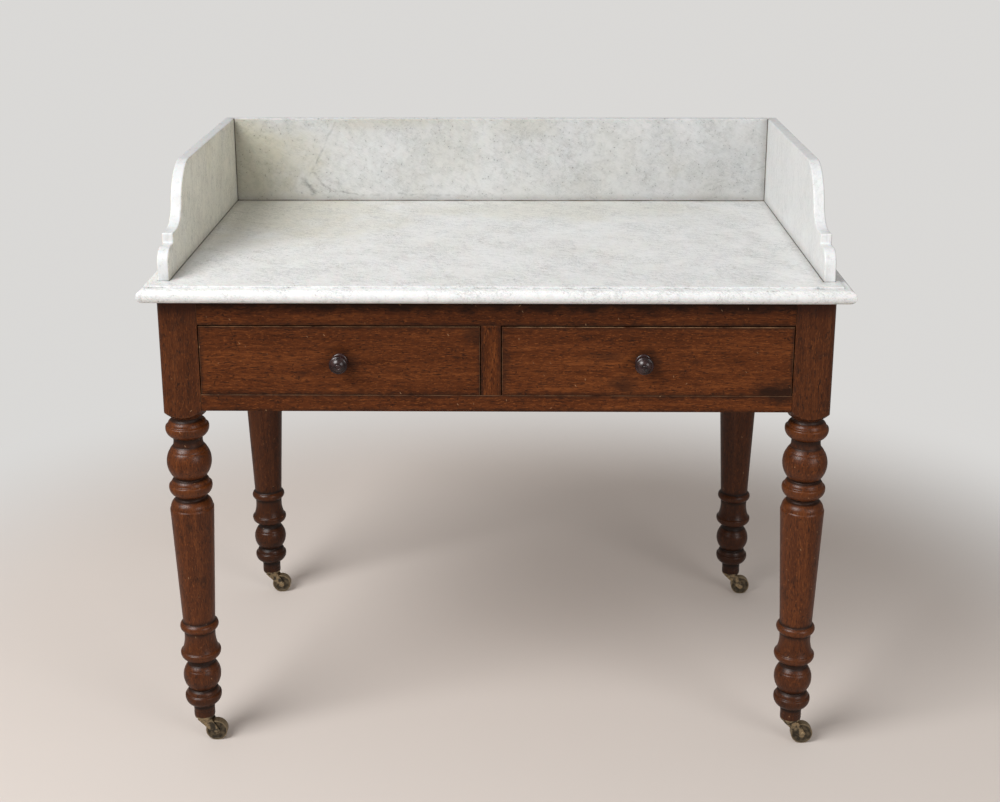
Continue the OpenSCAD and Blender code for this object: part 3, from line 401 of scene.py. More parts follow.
def wood_dirt_and_shade(s, place, mottle, board, patches, cracks):
    """Old dirt in blotches, along a board's edges, in patches and in cracks; some patches are painted shade.
    """
    layers = [s.ramp(mottle, 0.56, 0.74) * 0.50]
    if board:
        ragged = (s.noise(place, 0.010, 4.0) - 0.5) * 0.012
        layers.append(s.ramp(edge_distance(s, place, *board) + ragged, 0.008, -0.001) * 0.72)
    # patches of dirt, and of painted shade such as the slab's shadow on the top rail
    for centre, reach, strength in patches:
        layers.append(s.within(place, centre, reach, (mottle - 0.5) * 1.6) * strength)
    for start, end in cracks:
        layers.append(vein(s, place, start, end, 0.0022, 0.003) * 0.80)
    return s.chain("MAXIMUM", layers)


def leg_tones(s, place, colour):
    """A leg's darker parts: painted shade on its block and under the slab, what lies under its column, and
    its foot.
    """
    height = s.part(place, "Z")
    # painted shade: the block is darker than the turning below it
    block = s.ramp(height, 0.550, 0.562) * 0.24
    drum = s.ramp(height, 0.24, 0.15) * 0.24
    foot = s.ramp(height, 0.115, 0.075) * 0.30
    # painted shade under the slab
    shaded = s.ramp(height, 0.712, 0.738) * 0.60
    colour = s.mix(colour, bpy.context.scene.washstand_wood.dark, block + drum + foot)
    return s.mix(colour, (0.030, 0.006, 0.002), shaded)


def mahogany(name, grain, seed, board=None, shade=1.0, edge=0.26, turned=False, patches=(), cracks=()):
    """Waxed mahogany: grain along one axis, fine pores, old dirt with painted shade, rubbed edges with a
    painted highlight, and nicks.

    board is a box and the axes over which its edges gather dirt. shade darkens the whole piece. edge is how
    pale its arrises are, by rubbed wear and a painted highlight. turned is for a leg, which has hollows and a
    higher polish.
    """
    wood = bpy.context.scene.washstand_wood
    contrast, dull, gloss = (0.85, 0.26, 0.32) if turned else (1.0, 0.38, 0.14)
    s = Shader(name)
    place = s.point()
    q = s.warped(s.moved(place, (seed * 1.7, seed * 3.1, seed * 0.9), GRAIN_TURN[grain]), 0.30, 0.008)
    fibre = streaks(s, q, 0.018, 0.0016, 3.0, 0.65)
    mottle = s.noise(s.moved(q, scale=(1, 1.5, 1.5)), 0.030, 4.0, 0.6)
    colour, pores = clean_mahogany(s, place, q, fibre, mottle, contrast)
    dirt = wood_dirt_and_shade(s, place, mottle, board, patches, cracks)
    if turned:
        # old dirt and painted shade in the hollows of the turning
        hollow = s.attribute("hollow")
        dirt = s.math("MAXIMUM", dirt, s.ramp(hollow + (mottle - 0.5) * 0.3, 0.02, 0.50) * 0.86)
        crest = s.ramp(hollow + (fibre - 0.5) * 0.6, -0.20, -0.75)
        colour = s.mix(colour, wood.light, crest * 0.22)
    colour = s.mix(colour, wood.dark, dirt)
    if turned:
        colour = leg_tones(s, place, colour)
    if shade < 1:
        colour = s.mix(colour, (0.0, 0.0, 0.0), 1.0 - shade)
    # Pale arrises, most on upward edges: rubbed wear and a painted highlight where they catch the light.
    upward_highlight = s.ramp(s.facing("Z"), 0.15, 0.50) * 0.80 + 0.20
    broken = s.ramp(s.noise(place, 0.035, 5.0, 0.65), 0.34, 0.58)
    bare = s.math("MAXIMUM", scuffs(s, place, grain) * 0.62, s.attribute("arris") * upward_highlight * broken * edge)
    return s.finish(Base_Color=s.mix(colour, wood.worn, bare),
                    Roughness=dull + fibre * 0.12 + dirt * 0.16 + pores * 0.10, Specular_IOR_Level=gloss,
                    Normal=s.bump(fibre * 0.5 - pores * 0.6 - bare * 0.3, 0.00010))


def pine(name, grain, seed):
    """Bare old pine: wide soft rings, fine fibres and brown dirt."""
    wood = bpy.context.scene.washstand_wood
    s = Shader(name)
    q = s.warped(s.moved(s.point(), (seed * 2.3, seed * 1.1, seed * 4.7), GRAIN_TURN[grain]), 0.4, 0.02)
    rings = s.ramp(abs(s.math("FRACT", streaks(s, q, 0.8, 0.030, 3.0, 0.45) * 9) - 0.5), 0.5, 0.1)
    fibre = streaks(s, q, 0.06, 0.0016, 4.0, 0.65)
    dirt = s.ramp(s.noise(q, 0.12, 5.0, 0.6), 0.42, 0.75)
    brown = [c * f for c, f in zip(wood.pine, (0.66, 0.52, 0.42))]
    colour = s.mix(wood.pine, brown, rings * 0.55 + fibre * 0.35)
    colour = s.mix(colour, (0.12, 0.070, 0.038), dirt * 0.50)
    return s.finish(Base_Color=colour, Roughness=0.72 + fibre * 0.12, Normal=s.bump(fibre, 0.00015))


def vein(s, place, start, end, width, wander):
    """A thin broken vein that wanders along the line between two places."""
    off = s.off_line(s.warped(place, 0.040, wander), start, end)
    return s.ramp(off + abs(s.noise(place, 0.012, 3.0) - 0.5) * width * 3, width, 0.0)


def wisps(s, bent, face):
    """Thin lines along X of the bent pattern, and fewer that cross them."""
    across = s.moved(bent, turn=(0, 50, 0) if face == "Y" else (0, 0, 50))
    lines = [s.ramp(abs(streaks(s, drawn, along, thin, 3.0, 0.60) - 0.5), 0.055, 0.0) * weight
             for drawn, along, thin, weight in ((bent, 0.045, 0.0080, 0.40), (bent, 0.020, 0.0032, 0.40),
                                                (across, 0.022, 0.0040, 0.30))]
    return s.chain("ADD", lines)


def marble(name, turn, seed, face, ground, cloud, wisp, speck, tint, painted_edge_light, painted_edge_tone=1.0, veins=(),
           stains=()):
    """Honed white marble whose large face looks along the axis face.

    ground is its lightness, and cloud, wisp, speck and tint are the strengths of its clouds, thin wisps,
    specks and warm tint. painted_edge_light is how far the other faces are whitened as painted light, and
    painted_edge_tone their lightness.
    """
    stone = bpy.context.scene.washstand_marble
    s = Shader(name)
    place = s.point()
    q = s.moved(place, (seed * 1.3, seed * 2.9, seed * 0.7), turn)
    bent = s.warped(q, 0.12, 0.016)
    clouds = s.noise(bent, 0.085, 5.0, 0.60)
    mottle = s.noise(q, 0.012, 5.0, 0.68)
    broken = s.ramp(s.noise(q, 0.050, 3.0), 0.36, 0.64) * 0.6 + 0.4
    specks = s.ramp(s.noise(place, 0.0034, 2.0), 0.60, 0.68) * s.ramp(mottle, 0.48, 0.58)
    threads = s.ramp(abs(s.noise(bent, 0.034, 6.0, 0.70) - 0.5), 0.016, 0.0) * s.ramp(clouds, 0.48, 0.62)
    soft = s.ramp(clouds, 0.34, 0.70) * 0.5 + s.ramp(mottle, 0.42, 0.60) * 0.5
    grey = soft * cloud + wisps(s, bent, face) * broken * wisp + specks * speck + threads * cloud
    # some veins are painted shade, such as the lines along the slab's step
    for start, end, width, wander, strength in veins:
        grey = grey + vein(s, place, start, end, width, wander) * broken * strength
    colour = s.mix([c * ground for c in stone.white], stone.grey, grey)
    warm = [s.ramp(s.noise(place, 0.13, 4.0), 0.42, 0.72) * tint]
    # stains; on the back splash the left one is also painted shade
    for centre, reach, strength in stains:
        warm.append(s.within(place, centre, reach, (clouds - 0.5) * 1.4) * strength)
    rim = s.ramp(abs(s.facing(face)), 0.80, 0.35)
    colour = s.mix(colour, stone.stain, s.chain("MAXIMUM", warm) * (1.0 - rim), "MULTIPLY")
    # painted light: faces other than the large one are whitened, more or less for each piece
    painted_edge_white = [c * f * painted_edge_tone for c, f in zip(stone.white, (0.94, 0.953, 0.970))]
    colour = s.mix(colour, painted_edge_white, rim * (1.0 - grey) * painted_edge_light)
    drips = s.ramp(s.noise(s.moved(place, scale=(1, 1, 0.12)), 0.010, 3.0), 0.54, 0.70)
    colour = s.mix(colour, stone.grey, rim * (drips * 0.18 + s.ramp(mottle, 0.42, 0.66) * 0.07))
    # Along the joints: a wide soft band of painted shade and a narrow dark line of dirt.
    off = s.chain("MINIMUM", [s.off_line(place, start, end) for start, end in joint_lines()])
    wide = s.ramp(off + (mottle - 0.5) * 0.012, 0.016, 0.0) * 0.26
    narrow = s.ramp(off + (mottle - 0.5) * 0.003, 0.0030, 0.0010) * 0.42
    colour = s.mix(colour, stone.dirt, s.math("MAXIMUM", wide, narrow))
    return s.finish(Base_Color=colour, Roughness=0.30 + clouds * 0.16, Subsurface_Weight=0.10,
                    Subsurface_Scale=0.004, Specular_IOR_Level=0.40,
                    Normal=s.bump(clouds - specks * 0.6, 0.0003))


def joint_lines():
    """The five lines where the splash meets the slab and itself, from their ends."""
    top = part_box("marble_top")[1][2]
    left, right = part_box("left_splash")[1][0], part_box("right_splash")[0][0]
    front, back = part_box("left_splash")[0][1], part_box("back_splash")[0][1]
    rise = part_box("back_splash")[1][2]
    return (((left, front, top), (left, back, top)), ((right, front, top), (right, back, top)),
            ((left, back, top), (right, back, top)), ((left, back, top), (left, back, rise)),
            ((right, back, top), (right, back, rise)))


def putty():
    """Old dirt and plaster in the joints of the marble."""
    s = Shader("joint_putty")
    grime = s.noise(s.point(), 0.020, 4.0)
    colour = s.mix((0.055, 0.040, 0.027), (0.22, 0.18, 0.13), s.ramp(grime, 0.48, 0.76))
    return s.finish(Base_Color=colour, Roughness=0.85, Normal=s.bump(grime, 0.0004))


def metal(name, rubbed, dull, rim=None):
    """Aged cast brass: tarnish with rubbed spots, and a rubbed rim (centre, radius) on a wheel."""
    tones = bpy.context.scene.washstand_metal
    s = Shader(name)
    place = s.point()
    patina = s.noise(place, 0.0075, 3.0, 0.55)
    shine = s.ramp(patina, 0.36, 0.66) * rubbed
    if rim:
        centre, radius = rim
        spoke = s.length(s.vector("MULTIPLY", s.vector("SUBTRACT", place, centre), (1.0, 0.0, 1.0)))
        tread = s.ramp(spoke + (patina - 0.5) * 0.003, radius * 0.84, radius * 0.98)
        shine = s.math("MAXIMUM", shine, tread * 0.5)
    colour = s.mix(tones.tarnish, tones.brass, shine)
    return s.finish(Base_Color=colour, Metallic=0.55 + shine * 0.45, Roughness=dull - shine * 0.20,
                    Normal=s.bump(s.noise(place, 0.0024, 2.0), 0.00006))


def ebonised():
    """Dark polished knob wood, a little brown where it is rubbed."""
    s = Shader("ebonised_wood")
    rubbed = s.noise(s.point(), 0.009, 3.0)
    colour = s.mix((0.017, 0.008, 0.008), (0.042, 0.020, 0.019), s.ramp(rubbed, 0.40, 0.68))
    return s.finish(Base_Color=colour, Roughness=0.22 + rubbed * 0.08, Specular_IOR_Level=0.60)


# ---- Node trees that grow meshes ----

class Tree:
    """A geometry node tree with named inputs, which ends in its material."""

    def __init__(self, name, **inputs):
        self.tree = bpy.data.node_groups.new(name, "GeometryNodeTree")
        face = self.tree.interface
        face.new_socket("Geometry", in_out="INPUT", socket_type="NodeSocketGeometry")
        face.new_socket("Geometry", in_out="OUTPUT", socket_type="NodeSocketGeometry")
        face.new_socket("Finish", in_out="INPUT", socket_type="NodeSocketMaterial")
        for label, kind in inputs.items():
            face.new_socket(label, in_out="INPUT", socket_type="NodeSocket" + kind)
        self.source = self.tree.nodes.new("NodeGroupInput")

    def given(self, name):
        return self.source.outputs[name]

    def node(self, kind, inputs, output=0, **settings):
        """Adds a node and gives one of its outputs."""
        return add_node(self.tree, kind, inputs, **settings).outputs[output]

    def math(self, operation, a, b):
        return self.node("ShaderNodeMath", {0: a, 1: b}, operation=operation)

    def finish(self, geometry):
        real = self.node("GeometryNodeRealizeInstances", {0: geometry})
        finished = self.node("GeometryNodeSetMaterial", {"Geometry": real, "Material": self.given("Finish")})
        output = self.tree.nodes.new("NodeGroupOutput")
        self.tree.links.new(finished, output.inputs[0])
        return self.tree


def sweep_tree():
    """A round body along a line of points, as thick at each point as its width attribute says."""
    t = Tree("Swept body", Sides="Int")
    line = t.node("GeometryNodeMeshToCurve", {0: t.given("Geometry")})
    width = t.node("GeometryNodeInputNamedAttribute", {"Name": "width"}, data_type="FLOAT")
    ring = t.node("GeometryNodeCurvePrimitiveCircle", {"Resolution": t.given("Sides"), "Radius": 1.0})
    body = t.node("GeometryNodeCurveToMesh", {"Curve": line, "Profile Curve": ring, "Scale": width,
                                              "Fill Caps": True})
    return t.finish(t.node("GeometryNodeSetShadeSmooth", {0: body}))


def screw_tree():
    """A slotted countersunk screw at every point, its head down, each turned another way."""
    t = Tree("Slotted screws", Head="Float", Shank="Float", Cone="Float", Length="Float", Slot="Float",
             Depth="Float", Seed="Int")
    head = t.node("GeometryNodeMeshCone", {"Vertices": 24, "Radius Top": t.given("Shank"),
                                           "Radius Bottom": t.given("Head"), "Depth": t.given("Cone")})
    across, deep = t.math("MULTIPLY", t.given("Head"), 3.0), t.math("MULTIPLY", t.given("Depth"), 2.0)
    slot = t.node("GeometryNodeMeshCube",
                  {"Size": t.node("ShaderNodeCombineXYZ", {0: across, 1: t.given("Slot"), 2: deep})})
    cut = t.node("GeometryNodeMeshBoolean", {"Mesh 1": head, "Mesh 2": slot}, operation="DIFFERENCE")
    plain = t.math("SUBTRACT", t.given("Length"), t.given("Cone"))
    shank = t.node("GeometryNodeMeshCylinder", {"Vertices": 24, "Radius": t.given("Shank"), "Depth": plain})
    half = t.math("MULTIPLY", t.math("ADD", t.given("Length"), t.given("Cone")), 0.5)
    shank = t.node("GeometryNodeTransform", {"Geometry": shank,
                                             "Translation": t.node("ShaderNodeCombineXYZ", {2: half})})
    join = t.tree.nodes.new("GeometryNodeJoinGeometry")
    for part in (cut, shank):
        t.tree.links.new(part, join.inputs[0])
    turn = t.node("FunctionNodeRandomValue", {2: 0.0, 3: math.pi, "Seed": t.given("Seed")}, 1,
                  data_type="FLOAT")
    spin = t.node("FunctionNodeAxisAngleToRotation", {"Axis": (0, 0, 1), "Angle": turn})
    return t.finish(t.node("GeometryNodeInstanceOnPoints", {"Points": t.given("Geometry"), "Rotation": spin,
                                                            "Instance": join.outputs[0]}))


def placed(name, data):
    """A new object in the scene."""
    piece = bpy.data.objects.new(name, data)
    bpy.context.scene.collection.objects.link(piece)
    return piece


def evaluated(holder):
    """The plain mesh that an object's modifiers make; the object itself goes."""
    mesh = bpy.data.meshes.new_from_object(holder.evaluated_get(bpy.context.evaluated_depsgraph_get()))
    bpy.data.objects.remove(holder)
    return mesh


def grown(name, tree, points, edges=(), attributes=None, **inputs):
    """Runs a node tree on a few points and lines, and returns the plain mesh it makes."""
    guide = bpy.data.meshes.new(name + "_guide")
    guide.from_pydata(points, edges, [])
    if attributes:
        for label, values in attributes.items():
            guide.attributes.new(label, "FLOAT", "POINT").data.foreach_set("value", values)
    piece = placed(name + "_guide", guide)
    nodes = piece.modifiers.new("Nodes", "NODES")
    nodes.node_group = tree
    for socket in tree.interface.items_tree:
        if socket.in_out == "INPUT" and socket.name in inputs:
            nodes[socket.identifier] = inputs[socket.name]
    mesh = evaluated(piece)
    mesh.name = name
    if not mesh.polygons:
        raise RuntimeError(name + ": the node tree made nothing")
    return mesh


# ---- Meshes ----

def dress(node, material):
    """Gives a carried-over CAD node its finish."""
    slots = frame["nodes"][node].data.materials
    slots.clear()
    slots.append(material)


def dress_pine(node, grain, seed):
    """Gives a CAD node old pine of its own."""
    dress(node, pine(node + "_pine", grain, seed))


def new_piece(name, mesh, material, body, replaced=()):
    """Registers a finished mesh as a piece that rides on a body."""
    piece = placed(name, mesh)
    mesh.materials.clear()
    mesh.materials.append(material)
    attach(piece, body)
    if replaced:
        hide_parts(*replaced)


def body_of(node):
    return frame["nodes"][node]["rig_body"]


def merged(node):
    """A CAD node's mesh as one skin, with the triangles of each flat face joined."""
    bm = bmesh.new()
    bm.from_mesh(frame["nodes"][node].data)
    bmesh.ops.remove_doubles(bm, verts=bm.verts, dist=WELD)
    bmesh.ops.dissolve_limit(bm, angle_limit=FLAT, verts=bm.verts, edges=bm.edges)
    return bm


def round_edges(bm, arris, segments):
    """Rounds the sharp edges, all but the tiny ones round a pin's hole, and marks the new faces as arris."""
    mark = bm.faces.layers.float.new("arris")
    sharp = [e for e in bm.edges if len(e.link_faces) == 2 and e.calc_face_angle() > ROUNDED
             and e.calc_length() > arris / 4]
    made = bmesh.ops.bevel(bm, geom=sharp, offset=arris, segments=segments, profile=0.5, affect="EDGES",
                           clamp_overlap=False, loop_slide=True)
    for face in made["faces"]:
        face[mark] = 1.0
    bmesh.ops.dissolve_degenerate(bm, dist=CRUMB, edges=bm.edges)


def to_mesh(bm, name):
    """Ends an edit: a smooth mesh whose large flat faces stay flat."""
    mesh = bpy.data.meshes.new(name)
    bm.to_mesh(mesh)
    bm.free()
    mesh.shade_smooth()
    mesh.set_sharp_from_angle(angle=SHADED_SHARP)
    holder = placed(name, mesh)
    holder.modifiers.new("Weighted normals", "WEIGHTED_NORMAL").keep_sharp = True
    return evaluated(holder)


def soft_piece(node, arris, material, segments=2):
    """A copy of a CAD node with its sharp edges rounded, which replaces it."""
    bm = merged(node)
    round_edges(bm, arris, segments)
    new_piece(node + "_soft", to_mesh(bm, node + "_soft"), material, body_of(node), (node,))


def smoothed(values, reach):
    """Gaussian mean along a list, over a number of entries."""
    half = max(1, round(3 * reach))
    weights = [math.exp(-0.5 * (i / reach) ** 2) for i in range(-half, half + 1)]
    last = len(values) - 1
    return [sum(w * values[min(max(k + i - half, 0), last)] for i, w in enumerate(weights)) / sum(weights)
            for k in range(last + 1)]


def read_profile(node, skin, x, y, low):
    """Levels and radii of a turned leg round the axis at x, y, as a ray from its side finds them."""
    turning = bpy.context.scene.washstand_turning
    turn, start, inset = 0.3, 0.2, 1e-5
    aside = Vector((math.cos(turn), math.sin(turn), 0.0))
    tall = turning.block_foot - low
    count = math.ceil(tall / turning.step)
    levels = [low + tall * i / count for i in range(count + 1)]
    radii = []
    for level in levels:
        axis = Vector((x, y, min(max(level, low + inset), turning.block_foot - inset)))
        hit = skin.ray_cast(axis + aside * start, -aside)[0]
        if hit is None:
            raise RuntimeError(node + ": no wood found at height %.4f" % level)
        radii.append((hit - axis).length)
    return levels, radii


def turned_leg(node, tree, material):
    """The leg swept anew from the profile of its CAD node, under the block cut from that node."""
    turning = bpy.context.scene.washstand_turning
    bm = merged(node)
    low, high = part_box(node)
    x = round((low[0] + high[0]) / 2, 4)
    y = round((low[1] + high[1]) / 2, 4)
    levels, radii = read_profile(node, BVHTree.FromBMesh(bm), x, y, low[2])
    worn = smoothed(radii, turning.wear / turning.step)
    broad = smoothed(radii, turning.hollow_reach / turning.step)
    hollow = [(b - r) / turning.hollow_depth for b, r in zip(broad, worn)]
    levels.append(turning.block_foot + turning.tuck)
    worn.append(worn[-1] - turning.tuck)
    hollow.append(hollow[-1])
    points = [(x, y, level) for level in levels]
    body = grown(node + "_turned", tree, points, [(i, i + 1) for i in range(len(points) - 1)],
                 {"width": worn, "hollow": hollow}, Sides=turning.segments, Finish=material)
    bmesh.ops.bisect_plane(bm, geom=bm.verts[:] + bm.edges[:] + bm.faces[:],
                           plane_co=(0, 0, turning.block_foot), plane_no=(0, 0, 1), clear_inner=True)
    bmesh.ops.holes_fill(bm, edges=[e for e in bm.edges if e.is_boundary])
    bmesh.ops.dissolve_degenerate(bm, dist=SLIVER, edges=bm.edges)
    round_edges(bm, bpy.context.scene.washstand_wood.arris, 2)
    return joined(node + "_turned", (body, to_mesh(bm, node + "_block")))


def joined(name, meshes):
    """One mesh out of several, which keeps their attributes."""
    objects = [placed(name, mesh) for mesh in meshes]
    with bpy.context.temp_override(active_object=objects[0], object=objects[0], selected_objects=objects,
                                   selected_editable_objects=objects):
        bpy.ops.object.join()
    mesh = objects[0].data
    bpy.data.objects.remove(objects[0])
    return mesh


def islands(node):
    """The box of each separate solid of a CAD node, as its lowest and highest corners."""
    bm = merged(node)
    left, boxes = set(bm.verts), []
    while left:
        group, queue = [], [left.pop()]
        while queue:
            vert = queue.pop()
            group.append(vert.co.copy())
            for edge in vert.link_edges:
                other = edge.other_vert(vert)
                if other in left:
                    left.discard(other)
                    queue.append(other)
        boxes.append(tuple(Vector([pick(c[i] for c in group) for i in range(3)]) for pick in (min, max)))
    bm.free()
    return sorted(boxes, key=lambda box: tuple(box[0]))


# ---- Operators ----

def on_face(node, marks, depth):
    """The marks of a node's front, given as (x, z), as places and reaches in space."""
    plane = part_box(node)[0][1]
    return [((centre[0], plane, centre[1]), (reach[0], depth, reach[1]), strength)
            for centre, reach, strength in marks]


class WASHSTAND_OT_marble(bpy.types.Operator):
    """Dress the slab and the three splashes and fill their joints"""
    bl_idname = "washstand.marble"
    bl_label = "Marble top and splash"

    def execute(self, context):
        stone = context.scene.washstand_marble
        plane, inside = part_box("back_splash")[0][1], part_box("left_splash")[1][0]
        back_veins = [((start[0], plane, start[1]), (end[0], plane, end[1]), *rest)
                      for start, end, *rest in BACK_VEINS]
        # Each piece's edges are whitened by its own amount of painted light.
        slab = marble("slab_marble", (0, 0, 33), 1.0, "Z", ground=1.065, cloud=0.09, wisp=0.62, speck=0.40,
                      tint=0.10, painted_edge_light=0.50, veins=SLAB_VEINS_AND_STEP_SHADE, stains=SLAB_STAINS)
        back = marble("back_marble", (0, -28, 0), 2.4, "Y", ground=0.81, cloud=0.29, wisp=0.30, speck=0.75,
                      tint=0.22, painted_edge_light=0.92, painted_edge_tone=1.14, veins=back_veins,
                      stains=on_face("back_splash", BACK_STAINS_AND_SHADE, 0.10))
        # The left splash's ground is set lighter than the others: painted light on its inner face, which gets
        # less light.
        left = marble("left_marble", (0, 90, 0), 3.9, "X", ground=1.23, cloud=0.18, wisp=0.55, speck=0.45,
                      tint=0.70, painted_edge_light=0.92, painted_edge_tone=0.83,
                      stains=(((inside, 0.0, 0.85), (0.3, 1.0, 0.5), 0.62),))
        right = marble("right_marble", (0, 90, 0), 5.2, "X", ground=0.97, cloud=0.07, wisp=0.36, speck=0.30,
                       tint=0.03, painted_edge_light=0.75, painted_edge_tone=1.05)
        soft_piece("marble_top", stone.slab_arris, slab)
        soft_piece("back_splash", stone.back_arris, back, 3)
        soft_piece("left_splash", stone.arris, left, 3)
        soft_piece("right_splash", stone.arris, right, 3)
        dress("splash_dowels", metal("dowel_brass", 0.5, 0.5))
        self.fill_joints(stone)
        return {"FINISHED"}

    def fill_joints(self, stone):
        """A thin dark line of old dirt and plaster in each joint, uneven in width."""
        spacing, waves, uneven = 0.006, 60, 0.45
        points, edges, widths = [], [], []
        for (start, end), share in zip(joint_lines(), JOINT_SHARES):
            run = Vector(end) - Vector(start)
            count = max(2, round(run.length / spacing))
            for i in range(count + 1):
                if i:
                    edges.append((len(points) - 1, len(points)))
                points.append(Vector(start) + run * i / count)
                spot = points[-1] * waves
                wave = math.sin(spot.x + 2.1 * spot.z) * math.cos(spot.y * 1.3)
                widths.append(stone.joint * share * (1.0 + uneven * wave))
        finish = putty()
        mesh = grown("joint_filling", sweep_tree(), points, edges, {"width": widths}, Sides=8, Finish=finish)
        new_piece("joint_filling", mesh, finish, body_of("marble_top"))


class WASHSTAND_OT_stand(bpy.types.Operator):
    """Dress the rails, the upright, the panels, the runners and the legs"""
    bl_idname = "washstand.stand"
    bl_label = "Stand"

    def execute(self, context):
        arris = context.scene.washstand_wood.arris
        # The top rail gets painted shadow under the slab, the bottom rail a patch of dirt.
        for node, seed, shade, dirt, depth in (("top_rail", 1.0, 0.92, TOP_RAIL_SHADOW, 0.10),
                                               ("bottom_rail", 2.0, 1.0, BOTTOM_RAIL_DIRT, 0.03)):
            finish = mahogany(node + "_wood", "X", seed, (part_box(node), "Z"), shade,
                              patches=on_face("bottom_rail", dirt, depth))
            soft_piece(node, arris, finish)
        finish = mahogany("muntin_wood", "Z", 3.3, (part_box("muntin"), "X"), 0.90, edge=0.05)
        soft_piece("muntin", arris, finish)
        for index, side in enumerate(SIDES):
            node = side + "_end_panel"
            finish = mahogany(node + "_wood", "Y", 4.0 + index, (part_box(node), "YZ"))
            soft_piece(node, arris, finish)
        sweep = sweep_tree()
        for index, corner in enumerate(CORNERS):
            node = "leg_" + corner
            # The back legs are darker: painted shade from the slab above them.
            finish = mahogany("leg_wood_" + corner, "Z", 7.0 + index, turned=True,
                              shade=0.92 if "front" in corner else 0.56)
            leg = turned_leg(node, sweep, finish)
            new_piece(node + "_turned", leg, finish, body_of(node), (node,))
        dress_pine("back_panel", "X", 1.0)
        for index, kind in enumerate(("runner", "guide", "kicker")):
            for place in ("left_", "right_", "centre_"):
                dress_pine(place + kind, "Y", 2.0 + index)
        dress_pine("drawer_stops", "X", 6.0)
        return {"FINISHED"}


class WASHSTAND_OT_drawers(bpy.types.Operator):
    """Dress the two drawers and their knobs"""
    bl_idname = "washstand.drawers"
    bl_label = "Drawers"

    def execute(self, context):
        wood = context.scene.washstand_wood
        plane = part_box("left_drawer_front")[0][1]
        crack = tuple((x, plane, z) for x, z in LEFT_FRONT_CRACK)
        left_end, right_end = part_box("left_drawer_front")[1][0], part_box("right_drawer_front")[0][0]
        dirt = {"left": (((left_end, 0.698), (0.030, 0.040), 0.60),),
                "right": (((right_end, 0.650), (0.020, 0.060), 0.60), *RIGHT_FRONT_DIRT)}
        for index, (side, shade, cracks) in enumerate((("left", 0.93, (crack,)), ("right", 0.99, ()))):
            front = side + "_drawer_front"
            low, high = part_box(side + "_drawer_knob")
            # dirt from hands and painted shade beside the knob, mostly to its right
            knob_dirt_and_shade = (((low[0] + high[0]) / 2 + 0.006, (low[2] + high[2]) / 2), (0.034, 0.026), 0.60)
            finish = mahogany(front + "_wood", "X", 11.0 + index, (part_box(front), "XZ"), shade, edge=0.74,
                              patches=on_face("left_drawer_front", (*dirt[side], knob_dirt_and_shade), 0.02),
                              cracks=cracks)
            soft_piece(front, wood.arris, finish)
            for part, grain, seed in (("left_side", "Y", 10.0), ("right_side", "Y", 12.0),
                                      ("back", "X", 14.0), ("bottom", "X", 16.0)):
                dress_pine(side + "_drawer_" + part, grain, seed + index)
        finish = ebonised()
        for side in SIDES:
            soft_piece(side + "_drawer_knob", wood.knob_arris, finish)
        return {"FINISHED"}


class WASHSTAND_OT_castors(bpy.types.Operator):
    """Dress the castors and cut the slots of their screws"""
    bl_idname = "washstand.castors"
    bl_label = "Castors"

    def execute(self, context):
        metals = context.scene.washstand_metal
        brass = metal("castor_brass", 1.0, 0.50)
        soft_piece("castor_plates", metals.arris, brass)
        for corner in CORNERS:
            wheel = "castor_wheel_" + corner
            low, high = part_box(wheel)
            middle = tuple((a + b) / 2 for a, b in zip(low, high))
            bronze = metal(wheel + "_bronze", 0.22, 0.50, (middle, (high[2] - low[2]) / 2))
            soft_piece("castor_horn_" + corner, metals.arris, brass)
            soft_piece("castor_axle_" + corner, metals.axle_arris, brass)
            soft_piece(wheel, metals.wheel_arris, bronze)
        self.screws(metals, brass)
        return {"FINISHED"}

    def screws(self, metals, brass):
        """Slotted screws where the CAD's plain ones stand."""
        boxes = islands("castor_screws")
        low, high = boxes[0]
        head = (high[0] - low[0]) / 2
        shank, cone = head * 0.59, head * 0.52
        places = [((a.x + b.x) / 2, (a.y + b.y) / 2, a.z) for a, b in boxes]
        mesh = grown("slotted_screws", screw_tree(), places, Finish=brass, Head=head, Shank=shank, Cone=cone,
                     Length=high[2] - low[2], Slot=metals.slot_width, Depth=metals.slot_depth, Seed=5)
        new_piece("slotted_screws", mesh, brass, body_of("castor_screws"), ("castor_screws",))


